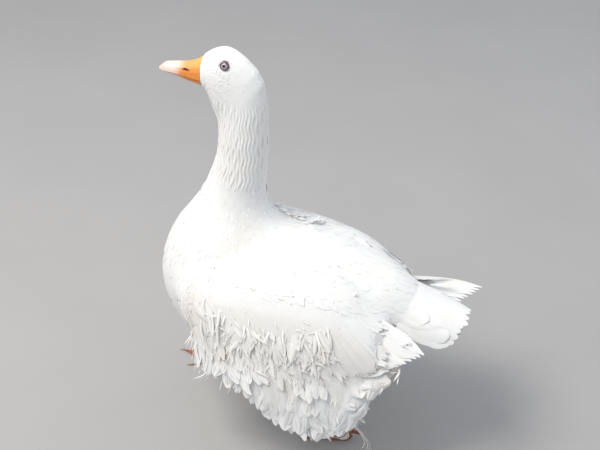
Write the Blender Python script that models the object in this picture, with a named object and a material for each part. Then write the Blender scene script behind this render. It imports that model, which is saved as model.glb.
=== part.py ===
"""A life-size white domestic goose with loose, curled flank feathers, standing in mid-stride.

Metres, +Z up, floor at Z = 0. The bird looks along -Y, so its left side is at +X. Outlines are given in
the bird's own terms: ahead (along -Y), out (away from the middle, to either side) and up.
"""

import math

import bmesh
import bpy
import numpy as np
from mathutils import Vector

COLLECTION = "domestic_goose"
GAP = 0.0004  # clearance between neighbouring pieces

# The trunk, neck and head are one row of sections. Each has the point of its ring at the throat, breast or
# belly, the point at the crown, nape or back, both as (ahead, up), its half width, and how far the widest
# place sinks towards the belly.
SECTIONS = {
    "bill_root": ((0.0765, 0.601), (0.0785, 0.650), 0.0165, 0.0),
    "face": ((0.068, 0.585), (0.061, 0.6640), 0.0225, 0.0),
    "cheek": ((0.0605, 0.567), (0.032, 0.6660), 0.0262, 0.0),
    "nape": ((0.0540, 0.547), (-0.011, 0.627), 0.0268, 0.0),
    "upper_neck": ((0.053, 0.520), (-0.021, 0.553), 0.0290, 0.0),
    "middle_neck": ((0.058, 0.480), (-0.0215, 0.490), 0.0325, 0.0),
    "neck_base": ((0.084, 0.416), (-0.024, 0.422), 0.0450, 0.0),
    "shoulder": ((0.132, 0.335), (-0.052, 0.386), 0.0800, 0.06),
    "breast": ((0.1420, 0.250), (-0.098, 0.378), 0.1020, 0.10),
    "chest": ((0.097, 0.172), (-0.146, 0.368), 0.1160, 0.12),
    "belly": ((0.014, 0.126), (-0.195, 0.352), 0.1170, 0.12),
    "loin": ((-0.120, 0.138), (-0.245, 0.334), 0.1000, 0.10),
    "vent": ((-0.235, 0.215), (-0.288, 0.304), 0.0560, 0.05),
}
NECK_CUTS = {"head": (0.0, 3.45), "neck_upper": (3.45, 5.0), "neck_lower": (5.0, 6.7), "trunk": (6.7, 12.0)}
CUT_STEP = 0.006  # half the clearance at a cut, in sections
RINGS_PER_SECTION = 3
RING_SIDES = 22

EYE_RADIUS = 0.0080
EYE = (0.0405, 0.0148, 0.6465)  # ahead, out, up

# The bill: ahead, then the height of its upper edge, biting edge and lower edge, and its half width.
BILL = [
    (0.0790, 0.6490, 0.6135, 0.6015, 0.0155),
    (0.0900, 0.6400, 0.6140, 0.6035, 0.0148),
    (0.1060, 0.6335, 0.6155, 0.6068, 0.0135),
    (0.1240, 0.6305, 0.6168, 0.6105, 0.0122),
    (0.1400, 0.6270, 0.6160, 0.6132, 0.0098),
    (0.1490, 0.6210, 0.6135, 0.6128, 0.0045),
]
LOWER_BILL_TO = 0.1350
LOWER_BILL_NARROWER = 0.88
NAIL_FROM = 0.1370
NOSTRIL = (0.1030, 0.6262)
NOSTRIL_SIZE = (0.0030, 0.0040, 0.0016)
NOSTRIL_OUT = 0.80  # share of the bill's half width

# A folded wing and the loose plumes under it are curved shells. Each station is ahead, the upper edge and
# the lower edge as (out, up), how far the middle bulges out, and the thickness there.
WING = [
    (0.094, (0.082, 0.298), (0.090, 0.266), 0.004, 0.006),
    (0.055, (0.074, 0.345), (0.118, 0.228), 0.018, 0.015),
    (-0.025, (0.056, 0.373), (0.139, 0.205), 0.030, 0.019),
    (-0.105, (0.048, 0.370), (0.142, 0.205), 0.030, 0.019),
    (-0.175, (0.050, 0.351), (0.136, 0.216), 0.024, 0.016),
    (-0.222, (0.062, 0.309), (0.126, 0.231), 0.014, 0.012),
    (-0.245, (0.069, 0.296), (0.119, 0.238), 0.011, 0.010),
]
WING_HAND = [
    (0.00, (0.071, 0.294), (0.117, 0.240), 0.010, 0.0095),
    (0.40, (0.078, 0.288), (0.109, 0.253), 0.006, 0.0070),
    (0.80, (0.084, 0.282), (0.101, 0.264), 0.003, 0.0045),
    (1.00, (0.088, 0.279), (0.096, 0.270), 0.001, 0.0030),
]
HAND_FROM = -0.2458
WING_REACH = {"left": -0.312, "right": -0.366}
PLUMES = [
    (0.050, (0.100, 0.238), (0.110, 0.196), 0.002, 0.006),
    (0.036, (0.106, 0.240), (0.122, 0.168), 0.004, 0.014),
    (0.000, (0.112, 0.240), (0.132, 0.172), 0.006, 0.020),
    (-0.050, (0.114, 0.240), (0.138, 0.152), 0.008, 0.022),
    (-0.085, (0.114, 0.240), (0.139, 0.122), 0.010, 0.024),
    (-0.120, (0.112, 0.240), (0.138, 0.103), 0.011, 0.024),
    (-0.165, (0.104, 0.240), (0.136, 0.096), 0.012, 0.024),
    (-0.205, (0.096, 0.244), (0.130, 0.108), 0.012, 0.022),
    (-0.232, (0.090, 0.248), (0.123, 0.172), 0.009, 0.016),
    (-0.262, (0.084, 0.252), (0.112, 0.206), 0.006, 0.011),
    (-0.280, (0.082, 0.256), (0.100, 0.236), 0.003, 0.006),
]
SHELL_STEPS = 6  # points down each face of a shell
SHELL_EDGE = 0.12  # how thick a shell is at its edges, as a share of its middle
HEM_SCALLOPS = 9
HEM_DEPTH = 0.008
# Loose curled plumes below the hem: root and tip as (ahead, out, up), how far the middle bows back, width.
LOOSE_PLUMES = {
    "front": ((0.034, 0.118, 0.172), (0.040, 0.128, 0.148), 0.004, 0.011),
    "sickle": ((-0.186, 0.128, 0.118), (-0.203, 0.122, 0.082), 0.010, 0.010),
    "long": ((-0.198, 0.124, 0.126), (-0.250, 0.130, 0.086), 0.008, 0.013),
}
PLUME_THICKNESS = 0.0016

# The tail: ahead, up, half width, half thickness; its sides droop by TAIL_DROOP.
TAIL = [
    (-0.255, 0.291, 0.056, 0.026),
    (-0.290, 0.288, 0.055, 0.019),
    (-0.320, 0.284, 0.048, 0.011),
    (-0.345, 0.281, 0.039, 0.006),
    (-0.358, 0.280, 0.024, 0.003),
]
TAIL_DROOP = 0.012

# Legs: places as (ahead, out, up). The right foot is a step in front of the left one and is set down
# straight, while the left one, about to leave the floor, points a little inwards.
HIPS = {"left": (-0.080, 0.062, 0.170), "right": (0.000, 0.062, 0.170)}
ANKLES = {"left": (-0.172, 0.050, 0.080), "right": (0.032, 0.068, 0.080)}
HEELS = {"left": (-0.198, 0.038, 0.0), "right": (0.060, 0.075, 0.0)}
TOE_IN = {"left": math.radians(10), "right": 0.0}
THIGH_RADII = (0.040, 0.037, 0.029, 0.020, 0.0125)
SHANK_RADII = (0.0070, 0.0095, 0.0092, 0.0070, 0.0064, 0.0064, 0.0074)
ANKLE_OVERLAP = 0.10  # share of the shank that reaches up into the feathered thigh
SHANK_END_UP = 0.0040
LIMB_SIDES = 10
LIMB_FLATNESS = 0.82  # how wide a leg is against how deep
TOES = {"outer": (-25.0, 0.074), "middle": (0.0, 0.084), "inner": (24.0, 0.062)}  # degrees inwards, length
HEEL_HALF_WIDTH = 0.0060
WEB_THICKNESS = 0.0024
WEB_DIP = 0.017
TOE_HEIGHT = 0.0062
TOE_HALF_WIDTH = 0.0042
TOE_TAPER = 0.38
HEEL_HEIGHT = 0.0050
HEEL_LENGTH = 0.016
FOOT_GRID = (22, 8)
CLAW_LENGTH = 0.0090
CLAW_RADIUS = 0.0024
CLAW_HOOK = 0.0020
CLAW_UP = 0.0034
HIND_TOE_REACH = (0.0045, 0.0190)  # from the heel, its root and its tip
HIND_TOE_ANGLE = 150.0  # degrees inwards from straight ahead
HIND_TOE_UP = (0.0185, 0.0130)  # its root and its tip
HIND_TOE_RADII = (0.0030, 0.0034, 0.0030, 0.0026)
HIND_CLAW_LENGTH = 0.0060


def place(ahead, out, up, side=1):
    """A point from the bird's own terms; side is 1 for its left and -1 for its right."""
    return Vector((side * out, -ahead, up))


def side_sign(side):
    return 1 if side == "left" else -1


def smooth_row(rows, t):
    """Catmull-Rom through rows of numbers, at t counted in rows."""
    rows = np.asarray(rows, float)
    i = int(min(max(math.floor(t), 0), len(rows) - 2))
    f = t - i
    a, b, c, d = (rows[min(max(i + k, 0), len(rows) - 1)] for k in (-1, 0, 1, 2))
    return 0.5 * (2 * b + (c - a) * f + (2 * a - 5 * b + 4 * c - d) * f**2 + (3 * b - a - 3 * c + d) * f**3)


def flat(row):
    """One station's nested numbers as a flat list."""
    return [x for item in row for x in (item if isinstance(item, tuple) else (item,))]


def bill_at(ahead):
    """The bill's upper edge, biting edge, lower edge and half width at one place along it."""
    where, *columns = zip(*BILL)
    return [float(np.interp(ahead, where, column)) for column in columns]


# ---------------------------------------------------------------- making objects


def material(name, colour, roughness):
    mat = bpy.data.materials.get(name) or bpy.data.materials.new(name)
    mat.use_nodes = True
    shader = mat.node_tree.nodes["Principled BSDF"]
    shader.inputs["Base Color"].default_value = (*colour, 1.0)
    shader.inputs["Roughness"].default_value = roughness
    shader.inputs["Metallic"].default_value = 0.0
    return mat


def add_object(name, bm, mat, where):
    """Flat triangles keep a piece and the grown copy that cuts its neighbours the same shape."""
    bmesh.ops.triangulate(bm, faces=bm.faces)
    bmesh.ops.recalc_face_normals(bm, faces=bm.faces)
    mesh = bpy.data.meshes.new(name)
    bm.to_mesh(mesh)
    bm.free()
    mesh.shade_smooth()
    mesh.set_sharp_from_angle(angle=math.radians(50))
    mesh.materials.append(mat)
    obj = bpy.data.objects.new(name, mesh)
    where.objects.link(obj)
    return obj


def loft(rings):
    """A closed skin through rings of equally many points, with a fan over each end."""
    bm = bmesh.new()
    rows = [[bm.verts.new(p) for p in ring] for ring in rings]
    count = len(rows[0])
    for a, b in zip(rows, rows[1:]):
        for i in range(count):
            j = (i + 1) % count
            bm.faces.new((a[i], a[j], b[j], b[i]))
    for row in (rows[0], rows[-1]):
        hub = bm.verts.new(sum((v.co for v in row), Vector()) / count)
        for i in range(count):
            bm.faces.new((row[i], row[(i + 1) % count], hub))
    return bm


def round_ring(centre, across, along, sides):
    """A ring round centre with two half axes."""
    angles = (2 * math.pi * i / sides for i in range(sides))
    return [centre + across * math.cos(a) + along * math.sin(a) for a in angles]


def cut_away(obj, *cutters):
    """Takes the grown copies of other pieces out of obj."""
    for cutter in cutters:
        mod = obj.modifiers.new(f"clear_{cutter.name}", "BOOLEAN")
        mod.operation = "DIFFERENCE"
        mod.solver = "EXACT"
        mod.object = cutter


def grown(obj, where):
    """A copy of obj, larger by GAP all round, to cut its neighbours with."""
    copy = bpy.data.objects.new(f"grown_{obj.name}", obj.data.copy())
    where.objects.link(copy)
    for source in obj.modifiers:
        mod = copy.modifiers.new(source.name, "BOOLEAN")
        mod.operation, mod.solver, mod.object = source.operation, source.solver, source.object
    swell = copy.modifiers.new("grow", "DISPLACE")
    swell.strength = GAP
    swell.mid_level = 0.0
    copy.hide_render = True
    copy.display_type = "WIRE"
    return copy


# ---------------------------------------------------------------- trunk, neck and head


def body_ring(t):
    """The ring of the row of sections at t, counted in sections."""
    front_ahead, front_up, back_ahead, back_up, half_width, sink = smooth_row(
        [flat(row) for row in SECTIONS.values()], t
    )
    front, back = place(front_ahead, 0, front_up), place(back_ahead, 0, back_up)
    centre, spoke = (front + back) / 2, (back - front) / 2
    ring = []
    for i in range(RING_SIDES):
        a = 2 * math.pi * i / RING_SIDES
        width = half_width * (1 - sink * math.cos(a))
        ring.append(centre + spoke * math.cos(a) + Vector((width * math.sin(a), 0, 0)))
    return ring


def body_piece(name, first, last, mat, where):
    start = first + (CUT_STEP if first > 0 else 0)
    end = last - (CUT_STEP if last < len(SECTIONS) - 1 else 0)
    count = max(2, round((end - start) * RINGS_PER_SECTION))
    return add_object(name, loft([body_ring(t) for t in np.linspace(start, end, count + 1)]), mat, where)


def ball(name, centre, radius, mat, where):
    bm = bmesh.new()
    bmesh.ops.create_uvsphere(bm, u_segments=12, v_segments=8, radius=radius)
    bmesh.ops.translate(bm, verts=bm.verts, vec=centre)
    return add_object(name, bm, mat, where)


def bill_part(name, span, rings_wanted, upper, mat, where):
    """A length of the upper or the lower bill: an arch on an almost flat floor, which is where it bites."""
    rings = []
    for ahead in np.linspace(*span, rings_wanted):
        top, bite, under, half_width = bill_at(ahead)
        base, rise = (bite, top - bite) if upper else (bite - GAP, under - bite + GAP)
        half_width *= 1.0 if upper else LOWER_BILL_NARROWER
        arch = []
        for a in np.linspace(0, math.pi, 11):
            arch.append(place(ahead, half_width * math.cos(a), base + rise * abs(math.sin(a)) ** 0.8))
        floor = [place(ahead, half_width * x, base + 0.12 * rise * (1 - x * x)) for x in (-0.5, 0.0, 0.5)]
        rings.append(arch + floor)
    return add_object(name, loft(rings), mat, where)


def nostril_cutter(side, mat, guides):
    """A short slit-shaped pit in the side of the upper bill."""
    ahead, up = NOSTRIL
    bm = bmesh.new()
    bmesh.ops.create_uvsphere(bm, u_segments=10, v_segments=6, radius=1.0)
    bmesh.ops.scale(bm, verts=bm.verts, vec=NOSTRIL_SIZE)
    out = bill_at(ahead)[3] * NOSTRIL_OUT
    bmesh.ops.translate(bm, verts=bm.verts, vec=place(ahead, out, up, side_sign(side)))
    pit = add_object(f"nostril_pit_{side}", bm, mat, guides)
    pit.hide_render = True
    pit.display_type = "WIRE"
    return pit


# ---------------------------------------------------------------- wings, plumes and tail


def shell_ring(station, side, hem=0.0):
    """A thin curved section between an upper and a lower edge."""
    ahead, top_out, top_up, low_out, low_up, bulge, thick = station
    top, low = place(ahead, top_out, top_up, side), place(ahead, low_out, low_up + hem, side)
    down = low - top
    outward = Vector((-down.z, 0, down.x)).normalized() * (1 if -down.z * side > 0 else -1)
    outer, inner = [], []
    for i in range(SHELL_STEPS + 1):
        u = i / SHELL_STEPS
        middle = top + down * u + outward * (bulge * 4 * u * (1 - u))
        half = outward * (thick / 2 * (SHELL_EDGE + (1 - SHELL_EDGE) * math.sin(math.pi * u) ** 0.6))
        outer.append(middle + half)
        inner.append(middle - half)
    return outer + inner[::-1]


def shell(name, stations, steps, side, scallops, mat, where):
    rows = [flat(s) for s in stations]
    rings = []
    for i in range(steps + 1):
        t = i / steps * (len(rows) - 1)
        edge = math.sin(math.pi * i / steps)
        hem = -HEM_DEPTH * edge * abs(math.sin(math.pi * scallops * i / steps)) if scallops else 0.0
        rings.append(shell_ring(smooth_row(rows, t), side, hem))
    return add_object(name, loft(rings), mat, where)


def loose_plume(name, root, tip, bow, width, mat, where):
    """A thin curled feather: flat sections along an arc, widest in the middle."""
    rings = []
    for share in np.linspace(0, 1, 7):
        centre = root.lerp(tip, share) + Vector((0, bow * 4 * share * (1 - share), 0))
        half = width / 2 * (0.25 + 0.75 * math.sin(math.pi * share) ** 0.7) * (1 - 0.5 * share)
        flat_side, thin_side = Vector((0, half, half * 0.4)), Vector((PLUME_THICKNESS / 2, 0, 0))
        rings.append(round_ring(centre, flat_side, thin_side, 6))
    return add_object(name, loft(rings), mat, where)


def hand_stations(side):
    """The wing tip's stations, stretched to how far that wing reaches."""
    reach = WING_REACH[side]
    return [(HAND_FROM + (reach - HAND_FROM) * share, *rest) for share, *rest in WING_HAND]


def tail_fan(mat, where):
    rings = []
    for t in np.linspace(0, len(TAIL) - 1, 9):
        ahead, up, half_width, half_thick = smooth_row(TAIL, t)
        ring = round_ring(place(ahead, 0, up), Vector((half_width, 0, 0)), Vector((0, 0, half_thick)), 18)
        rings.append([p - Vector((0, 0, TAIL_DROOP * (p.x / half_width) ** 2)) for p in ring])
    return add_object("tail", loft(rings), mat, where)


# ---------------------------------------------------------------- legs and feet


def limb(name, start, end, radii, flatten, mat, where):
    """A tapering round limb from start to end."""
    axis = (end - start).normalized()
    across = axis.cross(Vector((0, 1, 0))).normalized()
    deep = axis.cross(across)
    rings = []
    for i, radius in enumerate(radii):
        centre = start.lerp(end, i / (len(radii) - 1))
        rings.append(round_ring(centre, across * radius * flatten, deep * radius, LIMB_SIDES))
    return add_object(name, loft(rings), mat, where)


def toe_direction(degrees, side):
    """A toe's level direction: inwards is towards the bird's middle."""
    a = math.radians(degrees) + TOE_IN[side]
    return Vector((-side_sign(side) * math.sin(a), -math.cos(a), 0))


def foot_shape(v, u):
    """Angle, distance from the heel and height of a place on the foot.

    v runs -1, 0, 1 over the outer, middle and inner toe, and u runs from the heel to the toes' tips.
    """
    outer, middle, inner = TOES.values()
    first, second = (outer, middle) if v < 0 else (middle, inner)
    f = v + 1 if v < 0 else v
    angle = first[0] + (second[0] - first[0]) * f
    reach = first[1] + (second[1] - first[1]) * f - WEB_DIP * math.sin(math.pi * f) ** 0.55
    distance = reach * u
    toe_angle, toe_reach = first if f < 0.5 else second
    aside = distance * abs(math.radians(angle - toe_angle))
    along = min(distance / toe_reach, 1.0)
    slimmer = 1 - TOE_TAPER * along
    ridge = (TOE_HEIGHT * slimmer - WEB_THICKNESS) * math.exp(-((aside / (TOE_HALF_WIDTH * slimmer)) ** 2))
    mound = HEEL_HEIGHT * math.exp(-((distance / HEEL_LENGTH) ** 2))
    return angle, distance, WEB_THICKNESS + max(ridge, 0) + mound


def foot(name, heel, side, mat, where):
    """A webbed foot, flat underneath: a grid drawn out into a fan, raised over the toes, closed below."""
    bm = bmesh.new()
    bmesh.ops.create_grid(bm, x_segments=FOOT_GRID[0], y_segments=FOOT_GRID[1], size=1.0)
    for vert in bm.verts:
        v, u = vert.co.x, (vert.co.y + 1) / 2
        angle, distance, height = foot_shape(v, u)
        spot = heel + toe_direction(angle, side) * distance
        spot.x -= side_sign(side) * v * HEEL_HALF_WIDTH
        vert.co = (spot.x, spot.y, height)
    top = bm.faces[:]
    floor = bmesh.ops.extrude_face_region(bm, geom=top)
    for vert in (g for g in floor["geom"] if isinstance(g, bmesh.types.BMVert)):
        vert.co.z = 0.0
    return add_object(name, bm, mat, where)


def claw(name, base, direction, length, mat, where):
    """A small hooked claw that starts at base."""
    rings = []
    for share in (0.0, 0.5, 1.0):
        centre = base + direction * length * share - Vector((0, 0, CLAW_HOOK * share * share))
        radius = CLAW_RADIUS * (1 - 0.8 * share)
        across = direction.cross(Vector((0, 0, 1))).normalized()
        rings.append(round_ring(centre, across * radius * 0.8, direction.cross(across) * radius, 8))
    return add_object(name, loft(rings), mat, where)


def leg(side, trunk_cutter, mats, where, guides):
    """Thigh, shank, webbed foot, hind toe and claws of one side."""
    sign = side_sign(side)
    hip, ankle, heel = (place(*spots[side], sign) for spots in (HIPS, ANKLES, HEELS))
    paw = foot(f"foot_{side}", heel, side, mats["leg"], where)
    shank_end = heel + Vector((0, 0, SHANK_END_UP))
    shank_start = ankle.lerp(shank_end, -ANKLE_OVERLAP)
    shank = limb(f"shank_{side}", shank_start, shank_end, SHANK_RADII, LIMB_FLATNESS, mats["leg"], where)
    cut_away(shank, grown(paw, guides))
    thigh = limb(f"thigh_{side}", hip, ankle, THIGH_RADII, LIMB_FLATNESS, mats["white"], where)
    cut_away(thigh, trunk_cutter, grown(shank, guides))
    for v, (toe, (degrees, length)) in zip((-1, 0, 1), TOES.items()):
        direction = toe_direction(degrees, side)
        tip = heel + direction * (length + GAP) + Vector((-sign * v * HEEL_HALF_WIDTH, 0, CLAW_UP))
        claw(f"claw_{side}_{toe}", tip, direction, CLAW_LENGTH, mats["claw"], where)
    back = toe_direction(HIND_TOE_ANGLE, side)
    root, tip = (heel + back * d + Vector((0, 0, z)) for d, z in zip(HIND_TOE_REACH, HIND_TOE_UP))
    hind = limb(f"hind_toe_{side}", root, tip, HIND_TOE_RADII, 1.0, mats["leg"], where)
    cut_away(hind, grown(shank, guides))
    drop = (tip - root).normalized()
    claw(f"claw_{side}_hind", tip + drop * GAP, drop, HIND_CLAW_LENGTH, mats["claw"], where)
    return thigh


# ---------------------------------------------------------------- the whole bird


def build():
    for obj in list(bpy.data.objects):
        bpy.data.objects.remove(obj, do_unlink=True)
    where = bpy.data.collections.new(COLLECTION)
    guides = bpy.data.collections.new("cutters")
    for collection in (where, guides):
        bpy.context.scene.collection.children.link(collection)
    mats = {
        "white": material("white_plumage", (0.86, 0.86, 0.85), 0.75),
        "bill": material("orange_bill", (0.86, 0.36, 0.07), 0.40),
        "nail": material("pale_nail", (0.85, 0.74, 0.67), 0.35),
        "eye": material("grey_blue_eye", (0.20, 0.22, 0.26), 0.05),
        "leg": material("brick_orange_leg", (0.52, 0.19, 0.11), 0.55),
        "claw": material("horn_claw", (0.55, 0.42, 0.34), 0.40),
    }
    body = {n: body_piece(n, *span, mats["white"], where) for n, span in NECK_CUTS.items()}
    trunk_cutter = grown(body["trunk"], guides)

    for side in ("left", "right"):
        sign = side_sign(side)
        ahead, out, up = EYE
        eye = ball(f"eye_{side}", place(ahead, out, up, sign), EYE_RADIUS, mats["eye"], where)
        cut_away(body["head"], grown(eye, guides))

    root, tip = BILL[0][0], BILL[-1][0]
    bill = bill_part("bill_upper", (root, NAIL_FROM - GAP), 8, True, mats["bill"], where)
    bill_part("bill_nail", (NAIL_FROM, tip), 4, True, mats["nail"], where)
    bill_part("bill_lower", (root, LOWER_BILL_TO), 7, False, mats["bill"], where)
    cut_away(bill, *(nostril_cutter(side, mats["bill"], guides) for side in ("left", "right")))

    for side in ("left", "right"):
        sign = side_sign(side)
        wing = shell(f"wing_{side}", WING, 14, sign, 0, mats["white"], where)
        cut_away(wing, trunk_cutter)
        hand = shell(f"wing_tip_{side}", hand_stations(side), 6, sign, 0, mats["white"], where)
        cut_away(hand, trunk_cutter, grown(wing, guides))
        plumes = shell(f"plumes_{side}", PLUMES, 24, sign, HEM_SCALLOPS, mats["white"], where)
        cut_away(plumes, trunk_cutter, grown(wing, guides), grown(hand, guides))
        plume_cutter = grown(plumes, guides)
        for which, (root, tip, bow, width) in LOOSE_PLUMES.items():
            ends = (place(*root, sign), place(*tip, sign))
            feather = loose_plume(f"loose_plume_{side}_{which}", *ends, bow, width, mats["white"], where)
            cut_away(feather, plume_cutter)
        thigh = leg(side, trunk_cutter, mats, where, guides)
        cut_away(thigh, plume_cutter)

    tail = tail_fan(mats["white"], where)
    cut_away(tail, trunk_cutter)
    centre_on_footprint(where, guides)


def centre_on_footprint(where, guides):
    """Puts the origin on the floor under the middle of the bird's own box."""
    bpy.context.view_layer.update()
    depsgraph = bpy.context.evaluated_depsgraph_get()
    corners = [
        obj.matrix_world @ Vector(c) for obj in where.objects for c in obj.evaluated_get(depsgraph).bound_box
    ]
    low = [min(c[i] for c in corners) for i in range(3)]
    high = [max(c[i] for c in corners) for i in range(3)]
    shift = Vector((-(low[0] + high[0]) / 2, -(low[1] + high[1]) / 2, -low[2]))
    for obj in [*where.objects, *guides.objects]:
        obj.location += shift
    bpy.context.view_layer.update()


build()
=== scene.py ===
"""Domestic goose with long curled plumes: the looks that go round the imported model.

Lengths are in metres. The bird faces -Y, its left is +X and up is +Z. Places on it are written as
(ahead, out, up): ahead of the shoulders, out from the middle plane, up from the floor.
"""

import math

import bpy
import numpy as np
from bpy.props import FloatProperty, FloatVectorProperty, IntProperty, PointerProperty
from mathutils import Matrix, Vector
from mathutils.bvhtree import BVHTree


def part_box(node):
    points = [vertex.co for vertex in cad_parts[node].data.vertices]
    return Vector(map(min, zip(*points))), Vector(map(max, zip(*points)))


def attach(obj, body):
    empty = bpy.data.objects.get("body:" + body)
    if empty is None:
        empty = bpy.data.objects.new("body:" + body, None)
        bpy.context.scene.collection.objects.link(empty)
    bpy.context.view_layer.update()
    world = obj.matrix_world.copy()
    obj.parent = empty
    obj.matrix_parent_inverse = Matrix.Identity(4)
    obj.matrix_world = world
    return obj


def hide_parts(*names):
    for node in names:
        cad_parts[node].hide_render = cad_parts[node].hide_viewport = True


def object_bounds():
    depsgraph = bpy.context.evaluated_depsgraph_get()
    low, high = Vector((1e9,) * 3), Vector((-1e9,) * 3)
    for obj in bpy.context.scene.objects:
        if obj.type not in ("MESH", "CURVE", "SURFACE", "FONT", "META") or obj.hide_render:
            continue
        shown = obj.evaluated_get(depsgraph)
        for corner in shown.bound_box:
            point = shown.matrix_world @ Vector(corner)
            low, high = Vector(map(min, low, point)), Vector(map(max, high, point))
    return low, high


bl_info = {
    "name": "Curly Domestic Goose",
    "version": (1, 0, 0),
    "blender": (4, 5, 0),
    "location": "View3D > Sidebar > Goose",
    "description": "Builds the skin, feathers, bill, eyes and legs of a domestic goose",
    "category": "Add Mesh",
}

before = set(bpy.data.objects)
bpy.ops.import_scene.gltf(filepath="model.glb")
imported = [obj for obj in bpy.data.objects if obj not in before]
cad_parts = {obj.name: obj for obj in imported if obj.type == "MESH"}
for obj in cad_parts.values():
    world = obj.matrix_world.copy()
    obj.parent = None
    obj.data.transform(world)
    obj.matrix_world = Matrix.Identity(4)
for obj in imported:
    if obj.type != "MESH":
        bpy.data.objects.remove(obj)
CAD_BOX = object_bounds()

BILL_REACH = 0.149  # how far the bill's tip is ahead of the shoulders
SHOULDERS_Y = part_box("bill_nail")[0].y + BILL_REACH
SIDES = {"left": 1, "right": -1}
EYE_PLACE = (0.0405, 0.0148, 0.6465)
EYE_AXIS = (0.0, 1.0, 0.34)
EYE_RADIUS = 0.0080
# The rim of an eye: share of the way from its opening to its outer edge, height over the eyeball.
LID_PROFILE = [
    (0.0, -0.0010),
    (0.0, 0.0004),
    (0.22, 0.0010),
    (0.48, 0.0007),
    (0.75, 0.0009),
    (1.0, 0.0001),
    (1.05, -0.0022),
]
NOSTRIL = (0.1030, 0.0108, 0.6262)
BILL_ROUNDS_FROM = 0.1350
BILL_TIP_UP = 0.6162
NAIL_FROM = 0.1370
# The size of the faces on bill, nail and legs.
BILL_STEP = 0.0007
NAIL_STEP = 0.0005
LEG_STEP = 0.0013
EYE_ROOM = 0.0091  # no feather grows nearer to an eye's middle than this

# Where the coat's kinds meet: the head's small feathers, the neck's furrows, the breast and the rear.
HEAD_FROM_UP = 0.575
BODY_BELOW_UP = 0.425
REAR_FROM_AHEAD = -0.02
FACE_ABOVE_UP = 0.59

# Every group of feathers draws from its own seed.
SEEDS = {"small": 11, "long": 23, "plumes": 37}

UNDER_HORN = ["bill_upper", "bill_lower", "eye_left", "eye_right"]
FEATHERED = ["head", "neck_upper", "neck_lower", "trunk", "tail"]
FEATHERED += [f"{part}_{side}" for part in ("wing", "plumes", "thigh") for side in SIDES]

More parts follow.
